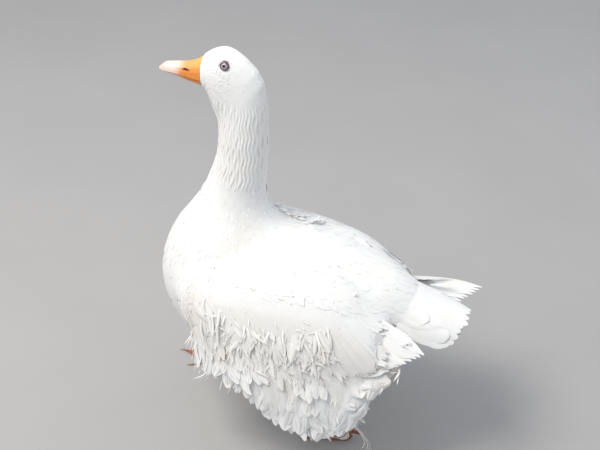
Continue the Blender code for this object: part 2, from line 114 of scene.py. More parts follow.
# The lie and size of the coat at places on the left of the body, mirrored to the right:
# (ahead, out, up), lie as (ahead, out, up), feather length, feather width, depth of the coat.
COAT = [
    ((0.074, 0.000, 0.652), (-1.0, 0.0, 0.5), 0.0048, 0.0018, 0.0005),
    ((0.055, 0.000, 0.668), (-1.0, 0.0, 0.1), 0.0058, 0.0020, 0.0007),
    ((0.030, 0.012, 0.668), (-1.0, 0.1, -0.1), 0.0066, 0.0022, 0.0008),
    ((-0.006, 0.000, 0.640), (-0.6, 0.0, -1.0), 0.0085, 0.0030, 0.0011),
    ((0.072, 0.014, 0.630), (-1.0, 0.3, -0.35), 0.0044, 0.0016, 0.0006),
    ((0.060, 0.018, 0.612), (-1.0, 0.2, -0.5), 0.0054, 0.0018, 0.0007),
    ((0.040, 0.024, 0.625), (-1.0, 0.1, -0.25), 0.0060, 0.0020, 0.0008),
    ((0.010, 0.022, 0.640), (-0.9, 0.0, -0.6), 0.0076, 0.0025, 0.0009),
    ((0.066, 0.000, 0.590), (-0.6, 0.0, -1.0), 0.0062, 0.0022, 0.0008),
    ((0.030, 0.026, 0.600), (-0.5, 0.1, -1.0), 0.0085, 0.0030, 0.0011),
    ((-0.005, 0.020, 0.600), (-0.3, 0.0, -1.0), 0.0105, 0.0040, 0.0012),
    ((0.020, 0.028, 0.550), (0.0, 0.0, -1.0), 0.0150, 0.0070, 0.0014),
    ((0.020, 0.032, 0.490), (0.0, 0.0, -1.0), 0.0180, 0.0080, 0.0015),
    ((0.030, 0.045, 0.420), (0.1, 0.2, -1.0), 0.0240, 0.0120, 0.0022),
    ((-0.024, 0.000, 0.425), (-0.4, 0.0, -1.0), 0.0240, 0.0120, 0.0022),
    ((0.084, 0.000, 0.420), (0.4, 0.0, -1.0), 0.0220, 0.0140, 0.0020),
    ((0.128, 0.030, 0.350), (0.2, 0.1, -1.0), 0.0280, 0.0200, 0.0022),
    ((0.070, 0.080, 0.350), (-0.3, 0.3, -1.0), 0.0300, 0.0200, 0.0025),
    ((0.143, 0.030, 0.260), (-0.1, 0.1, -1.0), 0.0300, 0.0220, 0.0022),
    ((0.110, 0.080, 0.260), (-0.7, 0.3, -0.8), 0.0320, 0.0220, 0.0025),
    ((0.090, 0.030, 0.170), (-1.0, 0.0, -0.5), 0.0340, 0.0220, 0.0030),
    ((0.060, 0.100, 0.200), (-0.8, 0.1, -0.7), 0.0360, 0.0220, 0.0030),
    ((0.000, 0.020, 0.128), (-1.0, 0.0, 0.0), 0.0380, 0.0220, 0.0035),
    ((-0.120, 0.020, 0.135), (-1.0, 0.0, 0.2), 0.0420, 0.0220, 0.0040),
    ((-0.220, 0.020, 0.200), (-1.0, 0.0, 0.5), 0.0440, 0.0220, 0.0040),
    ((-0.270, 0.040, 0.250), (-1.0, 0.0, 0.2), 0.0460, 0.0220, 0.0035),
    ((-0.050, 0.020, 0.392), (-1.0, 0.1, -0.3), 0.0320, 0.0180, 0.0027),
    ((-0.040, 0.060, 0.380), (-1.0, 0.3, -0.4), 0.0360, 0.0200, 0.0027),
    ((-0.120, 0.030, 0.375), (-1.0, 0.1, -0.1), 0.0440, 0.0240, 0.0030),
    ((-0.200, 0.030, 0.355), (-1.0, 0.0, -0.3), 0.0480, 0.0260, 0.0030),
    ((-0.270, 0.030, 0.315), (-1.0, 0.1, -0.3), 0.0500, 0.0260, 0.0030),
    ((0.080, 0.090, 0.310), (-0.9, 0.3, -0.6), 0.0300, 0.0190, 0.0025),
    ((0.020, 0.110, 0.330), (-1.0, 0.2, -0.5), 0.0360, 0.0210, 0.0025),
    ((0.000, 0.140, 0.260), (-0.7, 0.0, -0.9), 0.0420, 0.0200, 0.0027),
    ((-0.080, 0.100, 0.340), (-1.0, 0.2, -0.5), 0.0440, 0.0220, 0.0027),
    ((-0.080, 0.142, 0.260), (-0.8, 0.0, -0.7), 0.0460, 0.0220, 0.0027),
    ((-0.160, 0.120, 0.290), (-1.0, 0.0, -0.5), 0.0500, 0.0230, 0.0027),
    ((-0.230, 0.095, 0.290), (-1.0, -0.1, -0.3), 0.0520, 0.0230, 0.0025),
    ((0.030, 0.125, 0.200), (-0.3, 0.0, -1.0), 0.0460, 0.0180, 0.0030),
    ((-0.050, 0.135, 0.180), (-0.5, 0.0, -1.0), 0.0500, 0.0180, 0.0030),
    ((-0.140, 0.130, 0.150), (-0.6, 0.0, -1.0), 0.0500, 0.0180, 0.0030),
    ((-0.220, 0.110, 0.210), (-0.9, 0.0, -0.6), 0.0500, 0.0200, 0.0030),
    ((-0.060, 0.100, 0.115), (-0.8, 0.0, -0.4), 0.0440, 0.0200, 0.0030),
]

NECK_TOP = 0.592
NECK_FOOT = 0.420
RIDGE_STEP = 0.0023
RIDGE_FEATHER = 0.018
RIDGE_WAVE = 0.036  # length of one weave of a ridge past its neighbours
RIDGE_WEAVE = 1.9
RIDGE_PATH = [
    # up, ahead of the neck's middle line there, depth of the furrows
    (0.606, 0.016, 0.10),
    (0.570, 0.018, 0.55),
    (0.530, 0.017, 1.00),
    (0.480, 0.018, 1.00),
    (0.458, 0.021, 0.55),
    (0.438, 0.025, -0.30),
    (0.400, 0.034, -1.30),
]

# The outer face of a folded wing from the shoulder back: ahead, its top edge and its lower edge, both as
# (out, up).
WING_FACE = [
    (0.094, (0.082, 0.300), (0.092, 0.262)),
    (0.055, (0.074, 0.345), (0.120, 0.226)),
    (-0.025, (0.056, 0.373), (0.141, 0.204)),
    (-0.105, (0.048, 0.370), (0.144, 0.204)),
    (-0.175, (0.050, 0.351), (0.138, 0.214)),
    (-0.222, (0.062, 0.309), (0.128, 0.230)),
    (-0.246, (0.069, 0.296), (0.120, 0.238)),
    (-0.280, (0.079, 0.287), (0.106, 0.257)),
    (-0.312, (0.088, 0.280), (0.096, 0.270)),
]
WING_FACING = (0.0, 0.88, 0.48)
VANE_TILT = 0.055  # how far each long feather's upper face turns from its lower neighbour
WING_TIPS = {"left": -0.312, "right": -0.366}
WING_TIP_FROM = -0.246

# Rows of long feathers on a folded wing, lowest first. Roots and tips run between two places, each as
# (ahead, share of the way down the wing). Then how many, their width, how far their tips stand over the
# skin, how frayed they are and how much their tips curl.
WING_ROWS = {
    "secondaries": (
        ((0.010, 0.50), (-0.160, 0.42)),
        ((-0.070, 1.04), (-0.245, 0.98)),
        (12, 0.025, 0.0060, 0.06, 0.02),
    ),
    "tertials": (
        ((-0.070, 0.30), (-0.150, 0.12)),
        ((-0.205, 0.90), (-0.285, 0.35)),
        (11, 0.026, 0.0038, 0.05, 0.02),
    ),
}
# The flight feathers of a wing's tip, from the lowest to the highest: their roots, and their tips as
# (ahead of the longest one, out, up).
PRIMARIES = 9
PRIMARY_ROOTS = ((-0.165, 0.107, 0.238), (-0.186, 0.064, 0.305))
PRIMARY_TIPS = {
    "left": ((0.048, 0.112, 0.236), (0.000, 0.094, 0.264)),
    "right": ((0.000, 0.120, 0.252), (0.038, 0.070, 0.240)),
}
TIP_TURN = {"left": 0.0, "right": 1.0}  # how far the tip's upper face turns from outwards to upwards
TIP_OUTWARD = (0.0, 0.78, 0.63)
TIP_UPWARD = (0.0, -0.20, 1.0)
PRIMARY_WIDTH = 0.023

# The fall of the long flank plumes: ahead, where they start and where their hem is, both as (out, up).
FLANK_FACE = [
    (0.066, (0.098, 0.236), (0.103, 0.196)),
    (0.036, (0.110, 0.246), (0.124, 0.164)),
    (0.000, (0.114, 0.248), (0.134, 0.166)),
    (-0.050, (0.116, 0.248), (0.140, 0.148)),
    (-0.090, (0.116, 0.248), (0.141, 0.118)),
    (-0.130, (0.112, 0.248), (0.139, 0.098)),
    (-0.170, (0.106, 0.248), (0.137, 0.094)),
    (-0.206, (0.098, 0.250), (0.130, 0.112)),
    (-0.240, (0.090, 0.252), (0.120, 0.182)),
    (-0.284, (0.080, 0.256), (0.100, 0.234)),
]
FLANK_FACING = (0.0, 1.0, -0.05)
FLANK_ROWS = 8
FLANK_COLUMNS = 22
PLUME_LENGTHS = (0.020, 0.105)
WISPS = 150
WISP_LENGTHS = (0.022, 0.052)
WISP_WIDTHS = (0.0018, 0.0042)

# How loose plumes hang, each as a middle and a spread: their lean back, their swerve, their curl and the
# wave along them. Between the curl and the wave: the least and the most they stand over the skin.
HANG = {
    "flank": ((0.35, 0.16), (-0.2, 0.40), (0.0, 0.05), (0.0055, 0.0055), (0.0, 0.15)),
    "wing": ((0.40, 0.15), (0.0, 0.50), (0.0, 0.04), (0.0050, 0.0065), (0.0, 0.30)),
    "slim": ((0.35, 0.20), (0.0, 0.60), (0.0, 0.05), (0.0070, 0.0090), (0.0, 0.75)),
    "wisp": ((0.35, 0.30), (-0.3, 0.8), (0.03, 0.10), (0.005, 0.009), (0.0, 0.0)),
}
CURL_ROWS = 7
CURL_COLUMNS = 16
CURLS_ACROSS = (0.15, 0.48)
CURL_LENGTHS = (0.044, 0.072)
CURL_WIDTHS = (0.011, 0.017)
SLIM_CURLS = 80
SLIM_CURL_LENGTHS = (0.040, 0.072)
SLIM_CURL_WIDTHS = (0.004, 0.007)

# A frayed long feather is split into strips from a share of its length on: how many, from where, how far
# they part and how much their tips curl up.
EDGE_STRIPS = 5
EDGE_FROM = 0.25
EDGE_SPLAY = 0.10
EDGE_CURL = 0.0

BACK_TUFTS = 32
TUFTS_AHEAD = (-0.105, -0.024)
TUFTS_OUT = 0.030
TUFT_LENGTHS = (0.012, 0.022)
TUFT_WIDTH = 0.0034
STANDING_TUFT = 0.030

TAIL_FEATHERS = 14
TAIL_FEATHER_WIDTH = 0.027
TAIL_COVERTS = (3, 9)  # rows, and feathers in a row
TAIL_TOP = [(-0.232, -0.066, 0.296), (-0.232, -0.035, 0.318), (-0.232, 0.035, 0.318), (-0.232, 0.066, 0.296)]
TAIL_END = [(-0.350, -0.044, 0.264), (-0.358, -0.018, 0.280), (-0.358, 0.018, 0.280), (-0.350, 0.044, 0.264)]

# The plumes that hang loose below each flank: root, tip, bow and width.
LOOSE_PLUMES = {
    "front": ((0.036, 0.118, 0.190), (0.034, 0.131, 0.140), 0.014, 0.009),
    "sickle": ((-0.176, 0.128, 0.140), (-0.200, 0.124, 0.082), 0.022, 0.0085),
    "long": ((-0.186, 0.126, 0.150), (-0.250, 0.132, 0.082), 0.016, 0.0090),
}

FLOOR_REACH = 6.0
SKY_COLOUR = (0.86, 0.92, 1.0)
SKY_STRENGTH = 0.66
LAMPS_AIM = (0, 0, 0.3)
LAMPS = {
    # place, power, size, colour
    "key": ((0.9, -1.1, 2.6), 62.0, 1.2, (1.0, 0.965, 0.91)),
    "rim": ((-1.4, 1.6, 1.8), 10.0, 1.5, (0.92, 0.96, 1.0)),
}
CAMERA_PLACE = (1.4094, 0.3515, 1.41)
CAMERA_ANGLES = (15.0, 35.0, 3.5)  # heading behind the bird's left, pitch down, roll
CAMERA_LENS = 69.0

UP = np.array((0.0, 0.0, 1.0))


# ---------------------------------------------------------------------------------------- places


def spot(place, side=1):
    """A place on the bird in the model's own axes."""
    ahead, out, up = place
    return np.array((out * side, SHOULDERS_Y - ahead, up))


def way(lie, side=1):
    """A direction on the bird in the model's own axes."""
    ahead, out, up = lie
    return np.array((out * side, -ahead, up))


def ahead_of(places):
    """How far ahead of the shoulders places are."""
    return SHOULDERS_Y - places[..., 1]


def unit(vectors):
    """Vectors brought to a length of 1."""
    size = np.linalg.norm(vectors, axis=-1, keepdims=True)
    return vectors / np.maximum(size, 1e-12)


def flat_on(vectors, normals):
    """The part of the vectors that lies along a surface, as unit vectors."""
    return unit(vectors - (vectors * normals).sum(-1, keepdims=True) * normals)


def ease(value, start, end):
    """0 at start and 1 at end, smooth between."""
    share = np.clip((value - start) / (end - start), 0.0, 1.0)
    return share * share * (3.0 - 2.0 * share)


def along_line(points, shares):
    """Points on the smooth line through some points, at shares of the way from 0 to 1."""
    points = np.asarray(points, float)
    spots = np.clip(np.asarray(shares, float), 0, 1) * (len(points) - 1)
    first = np.minimum(spots.astype(int), len(points) - 2)
    t = (spots - first)[..., None]
    before = points[np.maximum(first - 1, 0)]
    a = points[first]
    b = points[first + 1]
    after = points[np.minimum(first + 2, len(points) - 1)]
    pull = 2 * a + (b - before) * t
    bend = (2 * before - 5 * a + 4 * b - after) * t**2
    close = (3 * a - before - 3 * b + after) * t**3
    return (pull + bend + close) / 2


def turned(vectors, axes, angles):
    """Vectors turned about unit axes."""
    cos = np.cos(angles)[..., None]
    sin = np.sin(angles)[..., None]
    along = (vectors * axes).sum(-1, keepdims=True)
    return vectors * cos + np.cross(axes, vectors) * sin + axes * along * (1 - cos)


def coat_tables():
    """The rows of COAT for both sides of the bird: places, lies and sizes."""
    rows = []
    for place, lie, length, width, depth in COAT:
        for side in (1, -1) if place[1] > 0 else (1,):
            rows.append((spot(place, side), unit(way(lie, side)), (length, width, depth)))
    return [np.array(column) for column in zip(*rows)]


COAT_SPOTS, COAT_LIES, COAT_SIZES = coat_tables()


def coat_at(places):
    """The lie of the coat and its (length, width, depth) at places."""
    lies = np.empty_like(places)
    sizes = np.empty_like(places)
    for start in range(0, len(places), 20000):
        part = slice(start, start + 20000)
        gaps = ((places[part, None, :] - COAT_SPOTS[None]) ** 2).sum(-1)
        weights = 1.0 / (gaps + 2e-5) ** 2
        weights /= weights.sum(1, keepdims=True)
        lies[part] = weights @ COAT_LIES
        sizes[part] = weights @ COAT_SIZES
    return unit(lies), sizes


# ------------------------------------------------------------------------------------- surfaces


def point_normals(points, triangles):
    """The smooth normals of a mesh at its points."""
    a, b, c = (points[triangles[:, i]] for i in range(3))
    faces = np.cross(b - a, c - a)
    normals = np.zeros_like(points)
    for i in range(3):
        for axis in range(3):
            normals[:, axis] += np.bincount(triangles[:, i], faces[:, axis], len(points))
    return unit(normals)


def numbers_of(items, key, columns, kind=np.int32):
    """One value of every item of a mesh, as an array with some columns."""
    found = np.empty(len(items) * columns, kind)
    items.foreach_get(key, found)
    return found.reshape(-1, columns)


def triangles_of(mesh):
    """The corners of a mesh's triangles."""
    mesh.calc_loop_triangles()
    return numbers_of(mesh.loop_triangles, "vertices", 3)


def points_of(mesh):
    """The places of a mesh's points."""
    return numbers_of(mesh.vertices, "co", 3, np.float32).astype(float)


def edges_of(mesh):
    """The ends of a mesh's edges."""
    return numbers_of(mesh.edges, "vertices", 2)


def give(items, key, values, kind=np.float32):
    """Writes an array into every item of a mesh."""
    items.foreach_set(key, values.astype(kind).ravel())


def sums_round(values, edges):
    """The sum of each point's neighbours' values, and how many neighbours it has."""
    ends = np.concatenate([edges[:, 0], edges[:, 1]])
    others = np.concatenate([edges[:, 1], edges[:, 0]])
    number = len(values)
    sums = [np.bincount(ends, values[others, axis], number) for axis in range(3)]
    return np.stack(sums, 1), np.bincount(ends, minlength=number)[:, None]


def smoothed(points, edges, rounds, amount=None):
    """Points eased towards their neighbours without the form shrinking."""
    share = np.ones((len(points), 1)) if amount is None else amount[:, None]
    for _ in range(rounds):
        for push in (0.5, -0.52):
            sums, count = sums_round(points, edges)
            points = points + push * share * (sums / np.maximum(count, 1) - points)
    return points


def averaged(values, edges):
    """Each point's values averaged with its neighbours'."""
    sums, count = sums_round(values, edges)
    return (sums + values) / (count + 1)


def remeshed(name, nodes, voxel):
    """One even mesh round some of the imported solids."""
    points = []
    faces = []
    start = 0
    for node in nodes:
        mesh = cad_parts[node].data
        found = points_of(mesh)
        points.append(found)
        faces.append(triangles_of(mesh) + start)
        start += len(found)
    mesh = bpy.data.meshes.new(name)
    mesh.from_pydata(np.concatenate(points).tolist(), [], np.concatenate(faces).tolist())
    piece = bpy.data.objects.new(name, mesh)
    bpy.context.scene.collection.objects.link(piece)
    even = piece.modifiers.new("even faces", "REMESH")
    even.mode = "VOXEL"
    even.voxel_size = voxel
    even.use_smooth_shade = True
    depsgraph = bpy.context.evaluated_depsgraph_get()
    result = bpy.data.meshes.new_from_object(piece.evaluated_get(depsgraph))
    piece.modifiers.clear()
    piece.data = result
    result.name = name
    bpy.data.meshes.remove(mesh)
    return piece


def tree_of(points, triangles):
    """A mesh as a tree for finding places on it."""
    return BVHTree.FromPolygons(points.tolist(), triangles.tolist(), all_triangles=True)


class Surface:
    """A closed surface that feathers are laid on."""

    def __init__(self, mesh):
        self.points = points_of(mesh)
        self.triangles = triangles_of(mesh)
        self.normals = point_normals(self.points, self.triangles)
        broad = self.normals
        ends = edges_of(mesh)
        for _ in range(9):
            broad = averaged(broad, ends)
        self.rounded = np.linalg.norm(broad, axis=1)
        self.tree = tree_of(self.points, self.triangles)

    def nearest(self, places):
        """The nearest places on the surface, their smooth normals and the heights over them."""
        shape = places.shape
        places = places.reshape(-1, 3)
        found = [self.tree.find_nearest(place) for place in places.tolist()]
        on = np.array([tuple(hit[0]) for hit in found])
        corners = self.triangles[[hit[2] for hit in found]]
        gaps = np.linalg.norm(self.points[corners] - on[:, None], axis=2)
        weights = 1.0 / (gaps + 1e-6)
        normals = unit((self.normals[corners] * weights[..., None]).sum(1))
        heights = ((places - on) * normals).sum(1)
        return on.reshape(shape), normals.reshape(shape), heights.reshape(shape[:-1])

    def scatter(self, chosen, packing, rng):
        """Well-spread roots on the part of the surface that chosen picks."""
        corners = self.points[self.triangles]
        middles = corners.mean(1)
        first, second = corners[:, 1] - corners[:, 0], corners[:, 2] - corners[:, 0]
        areas = np.linalg.norm(np.cross(first, second), axis=1) / 2
        sizes = coat_at(middles)[1]
        gaps = packing * np.sqrt(sizes[:, 0] * sizes[:, 1])
        even = self.rounded[self.triangles].min(1) > 0.90
        weights = np.where(chosen(middles) & even, areas / gaps**2, 0.0)
        count = int(4.5 * weights.sum())
        picks = rng.choice(len(weights), count, p=weights / weights.sum())
        share = rng.random((count, 2))
        over = share.sum(1) > 1
        share[over] = 1 - share[over]
        a, b, c = (corners[picks, i] for i in range(3))
        places = a + (b - a) * share[:, :1] + (c - a) * share[:, 1:]
        gap = gaps[picks]
        cell = float(gap.max())
        grid = {}
        kept = []
        for i, (x, y, z) in enumerate(places.tolist()):
            key = (int(x // cell), int(y // cell), int(z // cell))
            limit = gap[i] ** 2
            near = (
                other
                for dx in (-1, 0, 1)
                for dy in (-1, 0, 1)
                for dz in (-1, 0, 1)
                for other in grid.get((key[0] + dx, key[1] + dy, key[2] + dz), ())
            )
            if all((x - o[0]) ** 2 + (y - o[1]) ** 2 + (z - o[2]) ** 2 > limit for o in near):
                grid.setdefault(key, []).append((x, y, z))
                kept.append(i)
        return places[kept]


def blurred(grid):
    """The sum of each cell of a grid and the eight cells round it."""
    edges = ((1, 1), (1, 1)) + ((0, 0),) * (grid.ndim - 2)
    padded = np.pad(grid, edges, mode="edge")
    wide, tall = grid.shape[:2]
    return sum(padded[a : a + wide, b : b + tall] for a in range(3) for b in range(3))


class Sheet:
    """A smooth sheet over part of the skin that long feathers run on: shares across it and down it.

    It carries on past its foot by a share, doesn't dip towards the skin beyond hold, and passes over what
    is further than stray from its straight lines.
    """

    def __init__(self, surface, tops, feet, facing, past, hold=1.0, stray=0.03):
        columns = 30
        steps = 14
        across = np.linspace(0, 1, columns)
        down = np.linspace(0, 1 + past, steps)
        self.across = across
        self.down = down
        high = along_line(tops, across)[:, None]
        low = along_line(feet, across)[:, None]
        flat = high + (low - high) * down[None, :, None]
        toward = unit(np.array(facing, float))
        over = np.full(flat.shape[:2], np.nan)
        reach = 0.06
        for i in range(columns):
            for k in range(steps):
                start = Vector(flat[i, k] + toward * reach)
                hit = surface.tree.ray_cast(start, Vector(-toward), 2 * reach)
                if hit[0] is not None and abs(reach - hit[3]) < stray:
                    over[i, k] = reach - hit[3]
        for i in range(columns):
            for k in range(1, steps):
                if np.isnan(over[i, k]) or (down[k] > hold and over[i, k] < over[i, k - 1]):
                    over[i, k] = over[i, k - 1]
        over = np.where(np.isnan(over), 0.0, over)
        soft = over
        for _ in range(4):
            soft = np.maximum(blurred(soft) / 9, over - 0.004)
        self.points = flat + toward * soft[..., None]
        by_across = np.gradient(self.points, across, axis=0)
        by_down = np.gradient(self.points, down, axis=1)
        normals = unit(np.cross(by_across, by_down))
        normals *= np.sign((normals * toward).sum(-1, keepdims=True))
        for _ in range(2):
            normals = unit(blurred(normals))
        self.normals = normals
        self.wide = np.linalg.norm(by_across, axis=-1)
        self.tall = np.linalg.norm(by_down, axis=-1)

    def read(self, values, across, down):
        """Values of the grid at places on the sheet, carried on straight past its edges."""
        spots = across * (len(self.across) - 1)
        first = np.clip(spots.astype(int), 0, len(self.across) - 2)
        s = (spots - first).reshape(*across.shape, *(1,) * (values.ndim - 2))
        rows = down / self.down[1]
        upper = np.clip(rows.astype(int), 0, len(self.down) - 2)
        t = (rows - upper).reshape(s.shape)
        one = values[first, upper] * (1 - s) + values[first + 1, upper] * s
        two = values[first, upper + 1] * (1 - s) + values[first + 1, upper + 1] * s
        return one * (1 - t) + two * t

    def between(self, roots, tips, rise, bow, curl):
        """Lines on the sheet from roots to tips, both as shares (across, down)."""
        shares = LONG[None]
        path = roots[:, None] * (1 - shares[..., None]) + tips[:, None] * shares[..., None]
        path[..., 0] += bow[:, None] * 4 * shares * (1 - shares)
        return self.raised(path[..., 0], path[..., 1], shares, rise, curl)

    def hanging(self, across, down, length, lean, swerve, curl, rise, wave=0.0):
        """Lines down the sheet: lean turns them back from its fall, swerve and wave bend them sideways."""
        middles = (LONG[1:] + LONG[:-1]) / 2
        steps = np.diff(LONG) * length[:, None]
        turn = lean[:, None] + swerve[:, None] * (middles - 0.3)
        turn = turn + np.reshape(wave, (-1, 1)) * np.sin(2 * math.pi * middles)
        none = np.zeros((len(length), 1))
        back = np.concatenate([none, np.cumsum(np.sin(turn) * steps, axis=1)], axis=1)
        fall = np.concatenate([none, np.cumsum(np.cos(turn) * steps, axis=1)], axis=1)
        wide = self.read(self.wide, across, np.minimum(down, 1.0))[:, None]
        tall = self.read(self.tall, across, np.minimum(down, 1.0))[:, None]
        across = across[:, None] + back / wide
        down = down[:, None] + fall / tall
        return self.raised(across, down, LONG[None], rise, curl * length)

    def raised(self, across, down, shares, rise, curl):
        """Lines over the sheet that leave its surface at their roots, and the sheet's normals along them."""
        points = self.read(self.points, across, down)
        normals = unit(self.read(self.normals, across, down))
        over = rise[:, None] * (1.3 * np.sqrt(shares) - 0.3) + curl[:, None] * shares**3
        return points + normals * over[..., None], normals


# ------------------------------------------------------------------------------------- feathers


def kept_in(places):
    """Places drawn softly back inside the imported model's sides and rear."""
    low, high = CAD_BOX
    kept = places.copy()
    for axis, inset, room in ((0, 0.006, 0.013), (1, 0.004, 0.014)):
        edge = high[axis] - inset
        over = places[..., axis] - edge
        kept[..., axis] = np.where(over > 0, edge + room * np.tanh(over / room), kept[..., axis])
        if axis == 0:
            under = -edge - places[..., axis]
            kept[..., axis] = np.where(under > 0, -edge - room * np.tanh(under / room), kept[..., axis])
    return kept


def frames_of(line, normals):
    """The ways along, out of and across feathers at their stations."""
    along = unit(np.gradient(line, axis=1))
    normals = flat_on(normals, along)
    return along, normals, np.cross(along, normals)


def lengths_of(line):
    """How far the tips of feathers are from their roots."""
    return np.linalg.norm(line[:, -1] - line[:, 0], axis=1)


class Form:
    """The pattern of one kind of feather or strip: an arched upper face and a flat lower one."""

    def __init__(self, stations, widths, columns, arch, edge_turn, rounding=0.0):
        self.stations = np.array(stations, float)
        rings = len(stations)
        across = np.linspace(-1, 1, columns)
        upper = rings * columns
        sides = across[[0, -1]]
        self.ring = np.concatenate([np.repeat(np.arange(rings), columns), np.repeat(np.arange(rings), 2)])
        shape = np.concatenate([np.tile(across, rings), np.tile(sides, rings)])
        wide = np.array(widths)[self.ring]
        self.across = shape * wide
        self.up = (1 - shape**2) * wide * arch
        self.back = -(shape**2) * self.stations[self.ring] ** 3 * rounding
        self.edge = shape**2
        lean = np.concatenate([np.tile(across * edge_turn, rings), np.full(rings * 2, math.pi)])
        self.normal_out = np.sin(lean)
        self.normal_up = np.cos(lean)
        tris = []
        for k in range(rings - 1):
            for j in range(columns - 1):
                a, b = k * columns + j, k * columns + j + 1
                tris += [(a, b, b + columns), (a, b + columns, a + columns)]
            a, b = upper + 2 * k + 1, upper + 2 * k
            tris += [(a, b, b + 2), (a, b + 2, a + 2)]
        last = (rings - 1) * columns
        for j in range(1, columns - 1):
            tris += [(last, last + j, last + j + 1), (0, j + 1, j)]
        self.tris = np.array(tris, np.int32)

    def copy(self, line, normals, width, length, fray=0.0, rng=None):
        """Points and normals of many feathers at once: line and normals are (feathers, stations, 3)."""
        along, normals, sides = frames_of(line, normals)
        half = (width / 2)[:, None, None]
        ring = self.ring
        out = np.tile(self.across, (len(line), 1))
        back = np.tile(self.back, (len(line), 1))
        if fray:
            wild = rng.normal(0, 1, (len(line), ring.max() + 1, 2))
            side = (self.across > 0).astype(int)
            out = out * (1 + fray * self.edge * wild[:, ring, side])
            back = back - fray * 0.35 * self.edge * np.abs(wild[:, ring, side]) * self.stations[ring]
        points = line[:, ring] + sides[:, ring] * out[..., None] * half
        points += normals[:, ring] * self.up[None, :, None] * half
        points += along[:, ring] * back[..., None] * length[:, None, None]
        facing = sides[:, ring] * self.normal_out[None, :, None]
        return points, facing + normals[:, ring] * self.normal_up[None, :, None]


LONG = np.array((0, 0.12, 0.26, 0.40, 0.54, 0.67, 0.79, 0.90, 1.0))

BEND = 0.10  # how far a small feather follows a surface that falls away, against its length
SUNK = 0.72  # how deep in the coat a small feather's root lies, against the coat's depth
STEADY = 0.72  # a small feather that would turn further than this over an edge is left out

DOWNY = Form((0, 0.4, 0.78, 1.0), (0.65, 1.15, 0.88, 0.14), 3, 0.12, 0.16)
BODY = Form((0, 0.35, 0.65, 0.87, 1.0), (0.55, 0.95, 1.0, 0.68, 0.08), 3, 0.10, 0.10)
RIDGE = Form((0, 0.3, 0.6, 0.85, 1.0), (0.6, 0.95, 1.0, 0.66, 0.10), 3, 0.40, 0.66)
STRIP = Form(LONG, (0.5, 0.85, 1.0, 1.0, 0.95, 0.85, 0.68, 0.42, 0.06), 3, 0.16, 0.35)
VANE = Form(LONG, (0.30, 0.62, 0.86, 0.97, 1.0, 0.98, 0.88, 0.64, 0.20), 5, 0.08, 0.22, 0.05)
ROUND = Form(LONG, (0.30, 0.62, 0.86, 0.97, 1.0, 1.0, 0.93, 0.74, 0.34), 5, 0.16, 0.30, 0.03)


PATCH = 0.003  # a feather's size on the unwrap


class Coat:
    """Feathers gathered into one mesh."""

    def __init__(self):
        self.points = []
        self.tris = []
        self.normals = []
        self.patches = []
        self.tones = []
        self.count = 0

    def add(self, form, line, normals, width, length, rng, roots=None, fray=0.0):
        """Adds a feather along every line. Its root is the line's start, unless roots say otherwise."""
        points, facing = form.copy(line, normals, width, length, fray, rng)
        points = kept_in(points)
        number, size = points.shape[:2]
        starts = self.count + np.arange(number) * size
        self.points.append(points.reshape(-1, 3))
        self.tris.append((form.tris[None] + starts[:, None, None]).reshape(-1, 3))
        self.normals.append(facing.reshape(-1, 3))
        base = unwrap(line[:, 0] if roots is None else roots)
        local = np.stack([form.across, form.stations[form.ring]], 1) * (PATCH / 2, PATCH)
        patch = base[:, None, :] + local[None]
        self.patches.append(patch[:, form.tris].reshape(-1, 2))
        tones = np.clip(0.5 + rng.normal(0, 0.18, number), 0, 1)
        vane = np.empty((number, size, 3))
        vane[..., 0] = form.across[None] * width[:, None] / 2
        vane[..., 1] = form.stations[form.ring][None] * length[:, None]
        vane[..., 2] = tones[:, None]
        self.tones.append(vane.reshape(-1, 3))
        self.count += number * size

    def piece(self, name):
        """The one mesh of all the feathers, as a piece of the bird."""
        tris = np.concatenate(self.tris)
        mesh = bpy.data.meshes.new(name)
        mesh.vertices.add(self.count)
        give(mesh.vertices, "co", np.concatenate(self.points))
        mesh.loops.add(tris.size)
        give(mesh.loops, "vertex_index", tris, np.int32)
        mesh.polygons.add(len(tris))
        give(mesh.polygons, "loop_start", np.arange(0, tris.size, 3), np.int32)
        mesh.update(calc_edges=True)
        for key, values in (("custom_normal", unit(np.concatenate(self.normals))), ("vane", self.tones)):
            attribute = mesh.attributes.new(key, "FLOAT_VECTOR", "POINT")
            give(attribute.data, "vector", np.concatenate(values) if key == "vane" else values)
        give(mesh.uv_layers.new(name="OFBake").uv, "vector", np.concatenate(self.patches))
        mesh.update()
        return finished(bpy.data.objects.new(name, mesh), shared_plumage(), "white_plumage")


def finished(piece, material, slot, *replaced):
    """Puts a piece in the scene, on the bird's one body."""
    if piece.name not in bpy.context.scene.collection.objects:
        bpy.context.scene.collection.objects.link(piece)
    piece.data.materials.clear()
    piece.data.materials.append(material)
    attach(piece, "root")
    if replaced:
        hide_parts(*replaced)
    return piece


def unwrap(places):
    """Where places fall on a flat unwrap of the body: along it from bill to tail, and round it."""
    ahead = ahead_of(places)
    up = places[..., 2]
    out = places[..., 0]
    on_neck = ease(up, 0.36, 0.44)
    middle_ahead = np.where(up > 0.60, 0.03, 0.02)
    round_neck = np.arctan2(out, ahead - middle_ahead)
    round_body = np.arctan2(out, up - 0.25)
    along_neck = 0.02 + (0.67 - up) * 1.15
    along_body = 0.36 + (0.15 - ahead) * 1.2
    along = on_neck * along_neck + (1 - on_neck) * along_body
    turn = np.where(on_neck > 0.5, round_neck, round_body)
    return np.stack([np.clip(along, 0.01, 0.985), 0.5 + turn / (2 * math.pi) * 0.96], -1)


